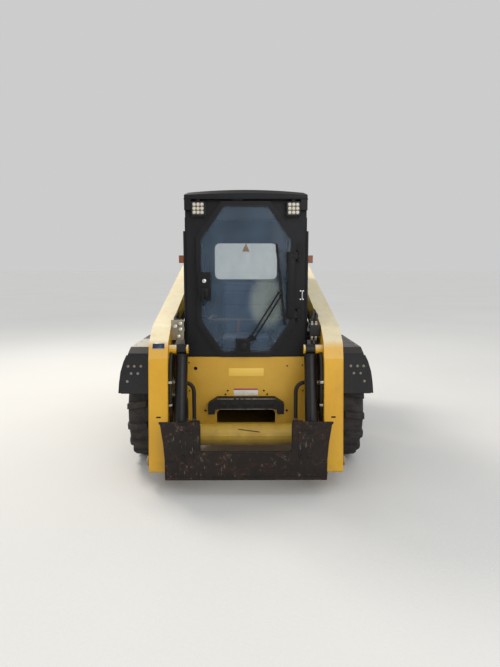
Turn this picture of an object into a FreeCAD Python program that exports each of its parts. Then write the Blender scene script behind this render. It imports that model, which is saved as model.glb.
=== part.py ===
import FreeCAD, Part
import math
import os
from types import SimpleNamespace
import Sketcher

# Compact skid steer loader, in millimetres.
# The front faces -Y, +Z is up and the origin lies on the ground under the middle of the machine.

document = FreeCAD.newDocument("Loader")
sheet = document.addObject("Spreadsheet::Sheet", "Sizes")

DIMENSIONS = [
    # Common plate, seating gaps and running gaps
    ("plate", 8),
    ("seat_gap", 0.3),
    ("run_gap", 6),
    # Lower frame tub
    ("tub_half", 430),
    ("tub_bottom", 215),
    ("tub_top", 850),
    ("tub_front", -975),
    ("tub_rear", 1330),
    ("tub_knee", 330),
    ("tub_slope", 95),
    ("tub_doorway_half", 385),
    ("engine_half", 260),
    ("engine_front", 480),
    ("engine_rear", 1180),
    ("engine_height", 640),
    # Wheels and axles
    ("tyre_radius", 419),
    ("tyre_width", 307),
    ("lug_height", 24),
    ("lug_width", 46),
    ("lug_lean", 34),
    ("lug_root", 60),
    ("lug_middle_gap", 8),
    ("shoulder_bevel", 38),
    ("bead_bevel", 42),
    ("rim_radius", 214),
    ("rim_wall", 9),
    ("rim_half", 115),
    ("wheel_track_half", 721),
    ("front_axle_y", -610),
    ("rear_axle_y", 570),
    ("housing_radius", 78),
    ("shaft_radius", 45),
    ("hub_radius", 84),
    ("hub_length", 118),
    ("wheel_disc_offset", 20),
    ("wheel_disc", 16),
    ("hub_cap_radius", 62),
    ("hub_cap_length", 46),
    ("shaft_room", 0.3),
    # Front panel and step
    ("panel_half", 445),
    ("panel_thickness", 12),
    ("panel_bottom", 336),
    ("step_top", 560),
    ("step_underside", 482),
    ("step_bottom", 445),
    ("step_leg", 48),
    ("step_corner", 42),
    ("step_half", 274),
    ("step_flat_half", 210),
    ("step_depth", 82),
    ("foot_slot_half", 215),
    ("foot_slot_bottom", 357),
    ("foot_slot_top", 470),
    ("foot_slot_corner", 32),
    ("key_hole_x", -368),
    ("key_hole_z", 766),
    ("key_hole_radius", 14),
    ("low_hole_x", 300),
    ("low_hole_z", 450),
    ("low_hole_radius", 9),
    # Rear uprights that carry the arms
    ("upright_thickness", 80),
    ("upright_foot", 560),
    ("upright_front", 780),
    ("upright_top", 1640),
    ("rear_lamp_y", 1160),
    ("rear_lamp_z", 1602),
    ("rear_lamp_inner", 672),
    ("rear_lamp_width", 80),
    ("rear_lamp_depth", 55),
    ("side_panel_front", 345),
    ("side_panel_top", 1080),
    ("pivot_y", 1050),
    ("pivot_z", 1500),
    ("pivot_pin_radius", 30),
    ("pivot_cap_radius", 50),
    ("cap_thickness", 11),
    # Lift arms
    ("arm_inner", 530),
    ("arm_width", 130),
    ("arm_eye_radius", 110),
    ("hinge_y", -1250),
    ("hinge_z", 170),
    ("arm_foot_bottom", 104),
    ("arm_foot_front", -1312),
    ("arm_foot_rear", -1190),
    ("arm_leg_rear", -1085),
    ("hinge_pin_radius", 22),
    ("elbow_top", 1085),
    ("torque_tube_y", -1112),
    ("torque_tube_z", 312),
    ("torque_tube_radius", 78),
    ("torque_tube_wall", 10),
    # Lift cylinders
    ("lift_base_y", 1150),
    ("lift_base_z", 640),
    ("lift_rod_y", 550),
    ("lift_rod_z", 1150),
    ("lift_x", 586),
    ("lift_barrel_radius", 50),
    ("lift_bore_radius", 42),
    ("lift_rod_radius", 28),
    ("lift_spare_stroke", 6),
    # Tilt cylinders
    ("tilt_base_y", -1130),
    ("tilt_base_z", 930),
    ("tilt_rod_y", -1298),
    ("tilt_rod_z", 302),
    ("tilt_x", 447),
    ("tilt_barrel_radius", 43),
    ("tilt_bore_radius", 36),
    ("tilt_rod_radius", 24),
    ("tilt_spare_stroke", 48),
    # Cylinder eyes and pins
    ("eye_radius", 36),
    ("eye_half_width", 30),
    ("pin_radius", 19),
    ("gland_length", 42),
    ("gland_rim", 5),
    ("ear_thickness", 14),
    ("ear_gap", 5),
    ("boss_rim", 13),
    # Quick coupler
    ("coupler_face", -1435),
    ("coupler_plate", 14),
    ("coupler_ear", 12),
    ("coupler_bottom", 110),
    ("coupler_top", 497),
    ("coupler_top_half", 568),
    ("coupler_bottom_half", 532),
    ("tower_inner", 298),
    ("coupler_mid_top", 300),
    ("latch_x", 338),
    # Fenders
    ("fender_inner", 668),
    ("fender_outer", 892),
    ("fender_top", 930),
    ("fender_top_outer", 825),
    ("fender_flare_bottom", 660),
    ("fender_front", -1075),
    ("fender_lip_bottom", 600),
    ("fender_rear_edge", -228),
    ("fender_end_z", 790),
    ("rear_fender_front", 196),
    ("rear_fender_rear", 1008),
    ("fender_shelf", 872),
    ("fender_plate", 8),
    # Cab
    ("cab_half", 430),
    ("cab_wall", 30),
    ("cab_front", -965),
    ("cab_rear", 330),
    ("cab_top", 1965),
    ("roof_front", -1010),
    ("roof_crest", 2060),
    ("roof_rear", 345),
    ("roof_crown", 29),
    ("roof_crown_half", 230),
    ("roof_corner", 36),
    ("cheek_bottom", 1893),
    ("side_window_front", -880),
    ("side_window_lean", 40),
    ("side_window_rear", 210),
    ("side_window_bottom", 1170),
    ("side_window_top", 1880),
    ("side_window_corner", 60),
    ("rear_window_half", 313),
    ("rear_window_bottom", 1385),
    ("rear_window_top", 1740),
    ("rear_window_corner", 50),
    ("lap_bar_y", 60),
    ("lap_bar_z", 1040),
    ("lap_bar_pin", 12),
    ("lap_bar_half", 300),
    ("lap_bar_arm", 16),
    ("floor_top", 488),
    ("door_gap", 5),
    ("door_thickness", 30),
    ("door_rim", 27),
    ("door_top", 1955),
    ("door_bottom", 856),
    ("door_shoulder", 1710),
    ("door_hip", 1090),
    ("door_half", 352),
    ("door_top_half", 172),
    ("door_bottom_half", 186),
    ("glass_thickness", 6),
    ("door_hinge_x", 378),
    ("door_hinge_pin", 6),
    ("door_hinge_high", 1580),
    ("door_hinge_low", 1160),
    ("hinge_half", 39),
    ("hinge_lug", 12),
    ("strap_half", 25),
    ("lamp_size", 100),
    ("lamp_depth", 44),
    ("lamp_x", 333),
    ("lamp_z", 1903),
    # Rear bumper, rear door and hood
    ("bumper_rear", 1435),
    ("bumper_half", 510),
    ("bumper_bottom", 225),
    ("bumper_top", 322),
    ("cheek_width", 70),
    ("cheek_top", 700),
    ("cheek_depth", 45),
    ("rear_door_half", 418),
    ("rear_door_front", 1338),
    ("rear_door_depth", 62),
    ("rear_door_bottom", 335),
    ("rear_door_top", 1076),
    ("grille_half", 290),
    ("grille_bottom", 470),
    ("grille_slot", 30),
    ("grille_pitch", 56),
    ("rear_hinge_x", -438),
    ("rear_hinge_y", 1394),
    ("rear_hinge_high", 1000),
    ("rear_hinge_low", 790),
    ("rear_hinge_pin", 7),
    ("hood_half", 424),
    ("hood_front", 352),
    ("hood_rear", 1400),
    ("hood_bottom", 1086),
    ("hood_top", 1162),
    ("louvre_half", 260),
    ("louvre_first", 640),
    ("louvre_width", 28),
    ("louvre_pitch", 60),
    ("hood_hinge_y", 358),
    ("hood_hinge_z", 1187),
    ("hood_hinge_pin", 6),
    ("hood_hinge_x", 300),
    # Seat
    ("seat_half", 225),
    ("seat_base_half", 210),
    ("seat_front", -330),
    ("seat_rear", 230),
    ("seat_back_top", 1380),
    ("cushion_front", -345),
    ("cushion_rear", 90),
    ("pod_inner", 230),
    ("pod_width", 56),
    ("pod_front", -430),
    ("pod_rear", 20),
    ("pod_bottom", 760),
    ("pod_top", 905),
    ("stick_x", 258),
    ("stick_y", -335),
    ("cushion_bottom", 800),
    ("cushion_top", 905),
    ("hose_radius", 14),
    ("hose_outer_x", 424),
    ("hose_outer_z", 600),
    ("hose_inner_x", 368),
    ("hose_inner_z", 690),
    ("hose_right_x", 352),
    ("hose_bend", 55),
    ("hose_fitting_radius", 19),
    ("hose_fitting_length", 42),
]


class Length:
    """A size that knows its value and the sheet expression that gives it."""

    def __init__(self, value, text):
        self.value = value
        self.text = text

    def joined(self, other, sign, value):
        return Length(value, "(%s %s %s)" % (self.text, sign, other.text))

    def __add__(self, other):
        other = as_length(other)
        return self.joined(other, "+", self.value + other.value)

    def __radd__(self, other):
        return as_length(other) + self

    def __sub__(self, other):
        other = as_length(other)
        return self.joined(other, "-", self.value - other.value)

    def __rsub__(self, other):
        return as_length(other) - self

    def __mul__(self, other):
        other = as_length(other)
        return self.joined(other, "*", self.value * other.value)

    def __rmul__(self, other):
        return as_length(other) * self

    def __truediv__(self, other):
        other = as_length(other)
        return self.joined(other, "/", self.value / other.value)

    def __neg__(self):
        return Length(-self.value, "(0 - %s)" % self.text)


def as_length(number):
    if isinstance(number, Length):
        return number
    return Length(float(number), "%s" % number if number >= 0 else "(0 - %s)" % -number)


def square_root(area):
    return Length(math.sqrt(area.value), "sqrt(%s)" % area.text)


def fill_sheet():
    """Write every driving dimension into the sheet and hand back its names."""
    names = {}
    for row, (name, value) in enumerate(DIMENSIONS, start=1):
        sheet.set("A%d" % row, name.replace("_", " "))
        sheet.set("B%d" % row, str(value))
        sheet.setAlias("B%d" % row, name)
        names[name] = Length(value, "Sizes.%s" % name)
    document.recompute()
    return SimpleNamespace(**names)


size = fill_sheet()


# Shared modelling steps
def new_body(label):
    body = document.addObject("PartDesign::Body", label)
    body.Label = label
    body.AllowCompound = True
    return body


def origin_feature(body, role):
    return [feature for feature in body.Origin.OriginFeatures if feature.Role == role][0]


def bind(target, path, length):
    target.setExpression(path, as_length(length).text)


def sketch_at(body, plane, offset):
    """A sketch on one of the body's own planes, moved along the plane's normal."""
    sketch = body.newObject("Sketcher::SketchObject", "%s_sketch" % body.Label)
    sketch.AttachmentSupport = (origin_feature(body, plane + "_Plane"), [""])
    sketch.MapMode = "FlatFace"
    bind(sketch, ".AttachmentOffset.Base.z", offset)
    return sketch


def place_point(sketch, index, position, spot):
    for kind, coordinate in (("DistanceX", spot[0]), ("DistanceY", spot[1])):
        number = sketch.addConstraint(Sketcher.Constraint(kind, index, position, as_length(coordinate).value))
        bind(sketch, "Constraints[%d]" % number, coordinate)


def draw_circle(sketch, centre, radius):
    middle = FreeCAD.Vector(as_length(centre[0]).value, as_length(centre[1]).value, 0)
    circle = Part.Circle(middle, FreeCAD.Vector(0, 0, 1), as_length(radius).value)
    index = sketch.addGeometry(circle, False)
    place_point(sketch, index, 3, centre)
    number = sketch.addConstraint(Sketcher.Constraint("Radius", index, as_length(radius).value))
    bind(sketch, "Constraints[%d]" % number, radius)


def draw_sides(sketch, centre, radius, sides):
    """A regular outline of flat sides with its corners at that radius and a flat side on top."""
    corners = []
    for i in range(sides):
        angle = math.radians(90 + (i + 0.5) * 360 / sides)
        corners.append((centre[0] + radius * math.cos(angle), centre[1] + radius * math.sin(angle)))
    draw_outline(sketch, corners)


def clear_of(radius, sides):
    """The corner radius of a flat-sided hole in which a round pin of that radius turns freely."""
    return as_length(radius) / math.cos(math.pi / sides)


def corner_arc(before, corner, after, radius):
    """The arc that rounds a corner: its two ends, its middle and whether it turns left."""
    into = (before - corner).normalize()
    out = (after - corner).normalize()
    half_angle = into.getAngle(out) / 2
    setback = radius / math.tan(half_angle)
    middle_line = (into + out).normalize()
    middle = corner + middle_line * (radius / math.sin(half_angle))
    turns_left = into.cross(out).z < 0
    return corner + into * setback, corner + out * setback, middle, turns_left


def add_arc(sketch, start, end, middle, radius, turns_left):
    first, last = (start, end) if turns_left else (end, start)
    begin = math.atan2(first.y - middle.y, first.x - middle.x)
    finish = math.atan2(last.y - middle.y, last.x - middle.x)
    circle = Part.Circle(middle, FreeCAD.Vector(0, 0, 1), radius)
    return sketch.addGeometry(Part.ArcOfCircle(circle, begin, finish), False)


def draw_outline(sketch, corners):
    """A closed outline of straight runs; a corner with a third value is rounded by that radius."""
    spots = [FreeCAD.Vector(as_length(c[0]).value, as_length(c[1]).value, 0) for c in corners]
    count = len(corners)
    arcs = {}
    starts = list(spots)
    ends = list(spots)
    for i, corner in enumerate(corners):
        if len(corner) == 3:
            radius = as_length(corner[2]).value
            start, end, middle, turns_left = corner_arc(spots[i - 1], spots[i], spots[(i + 1) % count], radius)
            arcs[i] = (start, end, middle, radius, turns_left)
            ends[i] = start
            starts[i] = end
    lines = [sketch.addGeometry(Part.LineSegment(starts[i], ends[(i + 1) % count]), False) for i in range(count)]
    for i, corner in enumerate(corners):
        previous = lines[i - 1]
        if i not in arcs:
            sketch.addConstraint(Sketcher.Constraint("Coincident", previous, 2, lines[i], 1))
            place_point(sketch, lines[i], 1, corner)
            continue
        start, end, middle, radius, turns_left = arcs[i]
        arc = add_arc(sketch, start, end, middle, radius, turns_left)
        near, far = (1, 2) if turns_left else (2, 1)
        sketch.addConstraint(Sketcher.Constraint("Tangent", previous, 2, arc, near))
        sketch.addConstraint(Sketcher.Constraint("Tangent", arc, far, lines[i], 1))
        number = sketch.addConstraint(Sketcher.Constraint("Radius", arc, radius))
        bind(sketch, "Constraints[%d]" % number, corner[2])
        mark = sketch.addGeometry(Part.Point(spots[i]), True)
        place_point(sketch, mark, 1, corner)
        sketch.addConstraint(Sketcher.Constraint("PointOnObject", mark, 1, previous))
        sketch.addConstraint(Sketcher.Constraint("PointOnObject", mark, 1, lines[i]))


def draw_path(sketch, start, corner, end, radius):
    """Two straight runs at right angles, joined by a tangent arc of that radius."""
    ends = [FreeCAD.Vector(as_length(spot[0]).value, as_length(spot[1]).value, 0) for spot in (start, corner, end)]
    near, far, middle, turns_left = corner_arc(ends[0], ends[1], ends[2], as_length(radius).value)
    first = sketch.addGeometry(Part.LineSegment(ends[0], near), False)
    arc = add_arc(sketch, near, far, middle, as_length(radius).value, turns_left)
    last = sketch.addGeometry(Part.LineSegment(far, ends[2]), False)
    entry, leave = (1, 2) if turns_left else (2, 1)
    sketch.addConstraint(Sketcher.Constraint("Tangent", first, 2, arc, entry))
    sketch.addConstraint(Sketcher.Constraint("Tangent", arc, leave, last, 1))
    place_point(sketch, first, 1, start)
    place_point(sketch, last, 2, end)
    sketch.addConstraint(Sketcher.Constraint("Horizontal", first))
    sketch.addConstraint(Sketcher.Constraint("Vertical", last))
    number = sketch.addConstraint(Sketcher.Constraint("Radius", arc, as_length(radius).value))
    bind(sketch, "Constraints[%d]" % number, radius)


def rectangle(left, bottom, right, top):
    return [(left, bottom), (right, bottom), (right, top), (left, top)]


def shape_feature(kind, body, plane, start, length, outlines, circles):
    """A pad or pocket that runs from start by length along the plane's own axis (+X, +Y or +Z)."""
    start = as_length(start)
    offset = -(start + length) if plane == "XZ" else start
    sketch = sketch_at(body, plane, offset)
    for outline in outlines:
        draw_outline(sketch, outline)
    for centre, radius, *sides in circles:
        if sides:
            draw_sides(sketch, centre, radius, sides[0])
        else:
            draw_circle(sketch, centre, radius)
    feature = body.newObject("PartDesign::" + kind, "%s_%s" % (body.Label, kind.lower()))
    feature.Profile = sketch
    bind(feature, "Length", length)
    sketch.Visibility = False
    return feature


def pad(body, plane, start, length, outlines=(), circles=()):
    return shape_feature("Pad", body, plane, start, length, outlines, circles)


def pocket(body, plane, start, length, outlines=(), circles=()):
    feature = shape_feature("Pocket", body, plane, start, length, outlines, circles)
    feature.Reversed = True
    return feature


def revolve(body, plane, outline, axis):
    sketch = sketch_at(body, plane, 0)
    draw_outline(sketch, outline)
    feature = body.newObject("PartDesign::Revolution", "%s_turned" % body.Label)
    feature.Profile = sketch
    feature.ReferenceAxis = (origin_feature(body, axis), [""])
    feature.Angle = 360
    return feature


def polar(body, features, axis, count):
    pattern = body.newObject("PartDesign::PolarPattern", "%s_ring" % body.Label)
    pattern.Originals = features
    pattern.Axis = (origin_feature(body, axis), [""])
    pattern.Angle = 360
    pattern.Occurrences = count
    body.Tip = pattern
    return pattern


def row(body, features, axis, spacing, count):
    """A straight row of like features, spacing apart along one of the body's axes."""
    pattern = body.newObject("PartDesign::LinearPattern", "%s_row" % body.Label)
    pattern.Originals = features
    pattern.Direction = (origin_feature(body, axis), [""])
    bind(pattern, "Length", spacing * (count - 1))
    pattern.Occurrences = count
    body.Tip = pattern
    return pattern


def place(body, x, y, z):
    bind(body, ".Placement.Base.x", x)
    bind(body, ".Placement.Base.y", y)
    bind(body, ".Placement.Base.z", z)


def across(side, near, thickness):
    """Where a slab starts along X when its near face lies at that distance from the middle."""
    near = as_length(near)
    return near if side > 0 else -(near + thickness)


SIDES = (("left", -1), ("right", 1))
# Hidden holes and bosses have few flat sides; the tyre and its rim share one count
HOLE_SIDES = 12
TYRE_SIDES = 32
LUGS_PER_ROW = 16
CYLINDER_SIDES = 20
HOSE_SIDES = 10


def foot_slot():
    """The opening for the toe of a boot, with its two top corners cut off."""
    half = size.foot_slot_half
    cut = size.foot_slot_corner
    return [(-half, size.foot_slot_bottom), (half, size.foot_slot_bottom), (half, size.foot_slot_top - cut),
            (half - cut, size.foot_slot_top), (cut - half, size.foot_slot_top), (-half, size.foot_slot_top - cut)]


# Lower frame tub: welded plate trough, open at the top and with a doorway at the back
def build_chassis_tub():
    body = new_body("chassis_tub")
    low = size.tub_front + size.tub_slope
    back = size.tub_rear - size.tub_slope
    outer = [(size.tub_front, size.tub_knee), (low, size.tub_bottom), (back, size.tub_bottom),
             (size.tub_rear, size.tub_knee), (size.tub_rear, size.tub_top), (size.tub_front, size.tub_top)]
    pad(body, "YZ", -size.tub_half, size.tub_half * 2, [outer])
    wall = size.plate
    inner = [(size.tub_front + wall, size.tub_knee + wall / 2), (low + wall / 2, size.tub_bottom + wall),
             (back - wall / 2, size.tub_bottom + wall), (size.tub_rear - wall, size.tub_knee + wall / 2),
             (size.tub_rear - wall, size.tub_top + wall), (size.tub_front + wall, size.tub_top + wall)]
    pocket(body, "YZ", wall - size.tub_half, (size.tub_half - wall) * 2, [inner])
    doorway = rectangle(-size.tub_doorway_half, size.tub_knee + wall, size.tub_doorway_half, size.tub_top + wall)
    pocket(body, "XZ", size.tub_rear - wall * 2, wall * 3, [doorway])
    pocket(body, "XZ", size.tub_front - wall, wall * 3, [foot_slot()])
    return body


# Front panel: bolted plate across the front of the tub, with its access holes and foot slot
def build_front_panel():
    body = new_body("front_panel")
    face = size.tub_front - size.panel_thickness
    outer = [(-size.panel_half, size.panel_bottom), (size.panel_half, size.panel_bottom),
             (size.panel_half, size.tub_top, 14), (-size.panel_half, size.tub_top, 14)]
    pad(body, "XZ", face, size.panel_thickness, [outer, foot_slot()])
    holes = [((size.key_hole_x, size.key_hole_z), size.key_hole_radius, HOLE_SIDES),
             ((-size.low_hole_x, size.low_hole_z), size.low_hole_radius, HOLE_SIDES),
             ((size.low_hole_x, size.low_hole_z), size.low_hole_radius, HOLE_SIDES)]
    pocket(body, "XZ", face - size.plate, size.panel_thickness + size.plate * 2, [], holes)
    return body


# Entry step: thick tread arch that stands out from the front panel
def build_entry_step():
    body = new_body("entry_step")
    face = size.tub_front - size.panel_thickness - size.step_depth
    shoulder = size.step_top - size.step_corner
    inner = size.step_half - size.step_leg
    outer = [(-size.step_half, size.step_bottom), (-inner, size.step_bottom), (-inner, size.step_underside),
             (inner, size.step_underside), (inner, size.step_bottom), (size.step_half, size.step_bottom),
             (size.step_half, shoulder), (size.step_flat_half, size.step_top),
             (-size.step_flat_half, size.step_top), (-size.step_half, shoulder)]
    pad(body, "XZ", face, size.step_depth, [outer])
    return body


# Uprights: a thick tower each side with the arm pivot, the lift cylinder's base pin and the side panel
def build_uprights():
    body = new_body("uprights")
    shoulder = size.side_panel_top + 40
    neck = size.pivot_z + 60
    tower = [(size.upright_front, size.upright_foot + 150), (size.pivot_y, size.upright_foot),
             (size.tub_rear, size.upright_foot), (size.tub_rear, size.tub_top), (size.tub_rear - 68, shoulder),
             (size.pivot_y + 160, neck, 40), (size.pivot_y + 140, size.upright_top, 40),
             (size.pivot_y - 40, size.upright_top, 60), (size.pivot_y - 100, neck),
             (size.pivot_y - 160, size.pivot_z - 100), (size.upright_front, shoulder)]
    side_panel = rectangle(size.side_panel_front, size.tub_top, size.tub_rear, size.side_panel_top)
    outer_face = size.tub_half + size.upright_thickness
    pivot = (size.pivot_y, size.pivot_z)
    base = (size.lift_base_y, size.lift_base_z)
    pin_reach = size.arm_inner + size.arm_width + size.ear_gap - outer_face
    base_reach = size.lift_x + size.eye_half_width + size.ear_gap - outer_face
    boss_reach = size.lift_x - size.eye_half_width - size.ear_gap - outer_face
    for name, side in SIDES:
        pad(body, "YZ", across(side, size.tub_half, size.upright_thickness), size.upright_thickness, [tower])
        pad(body, "YZ", across(side, size.tub_half - size.plate, size.plate), size.plate, [side_panel])
        pad(body, "YZ", across(side, outer_face, pin_reach), pin_reach, [], [(pivot, size.pivot_pin_radius)])
        cap = across(side, outer_face + pin_reach, size.cap_thickness)
        pad(body, "YZ", cap, size.cap_thickness, [], [(pivot, size.pivot_cap_radius, CYLINDER_SIDES)])
        pad(body, "YZ", across(side, outer_face, boss_reach), boss_reach, [],
            [(base, size.pin_radius + size.boss_rim, HOLE_SIDES)])
        pad(body, "YZ", across(side, outer_face, base_reach), base_reach, [], [(base, size.pin_radius)])
        cap = across(side, outer_face + base_reach, size.cap_thickness)
        pad(body, "YZ", cap, size.cap_thickness, [], [(base, size.pin_radius + size.boss_rim, HOLE_SIDES)])
        bracket = rectangle(size.rear_lamp_y, size.rear_lamp_z - 25, size.rear_lamp_y + size.plate,
                            size.rear_lamp_z + 25)
        reach = size.rear_lamp_inner + size.rear_lamp_width - outer_face + size.plate
        pad(body, "YZ", across(side, outer_face - size.plate, reach), reach, [bracket])
    add_rear_hinges(body)
    return body


def add_hinge_stack(body, height, lug, axis, pin):
    """Two lugs above one another with the pin between them, as much above as below that height."""
    reach = size.hinge_half
    for low in (height - reach, height + reach - size.hinge_lug):
        pad(body, "XY", low, size.hinge_lug, [lug])
    pad(body, "XY", height - reach, reach * 2, [], [(axis, pin)])


def add_rear_hinges(body):
    """The lugs and pins on the left upright's back face that carry the rear door."""
    axis = (size.rear_hinge_x, size.rear_hinge_y)
    left = size.rear_hinge_x - 14
    for height in (size.rear_hinge_low, size.rear_hinge_high):
        lug = rectangle(left, size.tub_rear, size.rear_hinge_x + 10, size.rear_hinge_y + 14)
        add_hinge_stack(body, height, lug, axis, size.rear_hinge_pin)
        heel = rectangle(left, size.tub_rear, left + 10, size.tub_rear + 20)
        pad(body, "XY", height - size.hinge_half, size.hinge_half * 2, [heel])


# Axle housings: a tube out of the tub for each wheel, with the shaft that carries the hub
def build_axle_housings():
    body = new_body("axle_housings")
    length = size.wheel_track_half - size.hub_length - size.run_gap - size.tub_half
    shaft = size.wheel_track_half - size.tub_half - size.plate
    for name, side in SIDES:
        for axle in (size.front_axle_y, size.rear_axle_y):
            centre = (axle, size.tyre_radius)
            pad(body, "YZ", across(side, size.tub_half, length), length, [],
                [(centre, size.housing_radius, HOLE_SIDES)])
            pad(body, "YZ", across(side, size.tub_half, shaft), shaft, [], [(centre, size.shaft_radius)])
    return body


def turn_about_axle(sketch, height, degrees):
    """Swing a sketch that lies at that height above the axle round the axle."""
    angle = math.radians(degrees)
    bind(sketch, ".AttachmentOffset.Base.y", height * -math.sin(angle))
    bind(sketch, ".AttachmentOffset.Base.z", height * math.cos(angle))
    place = sketch.AttachmentOffset
    place.Rotation = FreeCAD.Rotation(FreeCAD.Vector(1, 0, 0), degrees)
    sketch.AttachmentOffset = place


def prism_about_axle(body, start, length, radius):
    """A many-sided drum along X whose corners lie at that radius."""
    drum = body.newObject("PartDesign::AdditivePrism", "%s_drum" % body.Label)
    drum.Polygon = TYRE_SIDES
    along = FreeCAD.Rotation(FreeCAD.Vector(0, 1, 0), 90)
    flat_up = FreeCAD.Rotation(FreeCAD.Vector(0, 0, 1), 180 / TYRE_SIDES)
    drum.Placement = FreeCAD.Placement(FreeCAD.Vector(0, 0, 0), along.multiply(flat_up))
    bind(drum, "Circumradius", radius)
    bind(drum, "Height", length)
    bind(drum, ".Placement.Base.x", start)
    return drum


def bevel(body, base, half, smallest, largest, amount):
    """Bevel the edges of both end faces that lie between those distances from the axle."""
    document.recompute()
    names = []
    for number, edge in enumerate(base.Shape.Edges, start=1):
        middle = edge.CenterOfMass
        reach = math.hypot(middle.y, middle.z)
        if abs(abs(middle.x) - half.value) < 0.01 and smallest.value < reach < largest.value:
            names.append("Edge%d" % number)
    feature = body.newObject("PartDesign::Chamfer", "%s_bevel" % body.Label)
    feature.Base = (base, names)
    bind(feature, "Size", amount)
    return feature


# Tyre: many-sided drum with bevelled shoulders and beads, and two rows of slanted bars
def build_tyre(label, x, y):
    body = new_body(label)
    half = size.tyre_width / 2
    bead = size.rim_radius + size.seat_gap
    carcass = size.tyre_radius - size.lug_height
    corner = carcass / math.cos(math.pi / TYRE_SIDES)
    prism_about_axle(body, -half, size.tyre_width, corner)
    bore = pocket(body, "YZ", -half - 1, size.tyre_width + 2, [], [((0, 0), bead, TYRE_SIDES)])
    shoulder = bevel(body, bore, half, bead + size.lug_root, corner + 1, size.shoulder_bevel)
    bevel(body, shoulder, half, bead - size.plate, bead + size.plate, size.bead_bevel)
    base = carcass - size.lug_root
    lean = size.lug_lean
    bar_height = square_root(size.tyre_radius * size.tyre_radius - lean * lean) - base
    bars = []
    for side in (-1, 1):
        near = size.lug_middle_gap * side
        far = (half - 2) * side
        bar = [(near, -lean), (far, lean - size.lug_width), (far, lean), (near, size.lug_width - lean)]
        row_pad = pad(body, "XY", base, bar_height, [bar if side > 0 else bar[::-1]])
        if side < 0:
            turn_about_axle(row_pad.Profile[0], base, 180 / LUGS_PER_ROW)
        bars.append(row_pad)
    polar(body, bars, "X_Axis", LUGS_PER_ROW)
    place(body, x, y, size.tyre_radius)
    return body


# Wheel: many-sided rim with a bolted disc and a hub that turns on the axle shaft
def build_wheel(label, side, y):
    body = new_body(label)
    centre = (0, 0)
    inside = size.rim_radius - size.rim_wall
    shaft_hole = clear_of(size.shaft_radius + size.shaft_room, HOLE_SIDES)
    pad(body, "YZ", -size.rim_half, size.rim_half * 2, [],
        [(centre, size.rim_radius, TYRE_SIDES), (centre, inside, TYRE_SIDES // 2)])
    pad(body, "YZ", across(side, size.wheel_disc_offset, size.wheel_disc), size.wheel_disc, [],
        [(centre, inside + size.rim_wall / 2, TYRE_SIDES // 2)])
    pad(body, "YZ", across(side, -size.hub_length, size.hub_length + size.wheel_disc_offset),
        size.hub_length + size.wheel_disc_offset, [],
        [(centre, size.hub_radius, TYRE_SIDES // 2), (centre, shaft_hole, HOLE_SIDES)])
    disc_face = size.wheel_disc_offset + size.wheel_disc
    pad(body, "YZ", across(side, disc_face, size.hub_cap_length), size.hub_cap_length, [],
        [(centre, size.hub_cap_radius, TYRE_SIDES // 2)])
    place(body, size.wheel_track_half * side, y, size.tyre_radius)
    return body


# Engine: one plain block that stands for the engine and pumps on the tub's floor
def build_engine_block():
    body = new_body("engine_block")
    floor = size.tub_bottom + size.plate
    block = rectangle(-size.engine_half, size.engine_front, size.engine_half, size.engine_rear)
    pad(body, "XY", floor, size.engine_height, [block])
    return body


# Rear bumper: cast weight across the back, with a cheek at each side of the rear door
def build_rear_bumper():
    body = new_body("rear_bumper")
    cheek = size.bumper_half - size.cheek_width
    outline = [(-size.bumper_half, size.bumper_bottom, 30), (size.bumper_half, size.bumper_bottom, 30),
               (size.bumper_half, size.cheek_top), (cheek, size.cheek_top), (cheek, size.bumper_top),
               (-cheek, size.bumper_top), (-cheek, size.cheek_top), (-size.bumper_half, size.cheek_top)]
    pad(body, "XZ", size.tub_rear, size.cheek_depth, [outline])
    bar = [(-size.bumper_half, size.bumper_bottom, 30), (size.bumper_half, size.bumper_bottom, 30),
           (size.bumper_half, size.bumper_top), (-size.bumper_half, size.bumper_top)]
    start = size.tub_rear + size.cheek_depth
    pad(body, "XZ", start, size.bumper_rear - start, [bar])
    return body


def fender_profiles():
    """The bent plate over the front tyre and the one over the rear tyre, seen from the side."""
    thick = size.fender_plate
    top = size.fender_top
    front = size.fender_front
    end = size.fender_rear_edge
    over_front = [(front, size.fender_lip_bottom), (front + thick, size.fender_lip_bottom),
                  (front + thick, top - 44), (front + 52, top - thick), (end - 102, top - thick),
                  (end - thick, size.fender_end_z), (end, size.fender_end_z + 6), (end - 94, top),
                  (front + 47, top), (front, top - 38)]
    start = size.rear_fender_front
    back = size.rear_fender_rear
    over_rear = [(start, size.fender_end_z + 6), (start + thick, size.fender_end_z), (start + 86, top - thick),
                 (back - 128, top - thick), (back - thick, size.fender_end_z - 20),
                 (back, size.fender_end_z - 15), (back - 122, top), (start + 78, top)]
    return (over_front, -560, -300), (over_rear, 360, 760)


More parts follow.
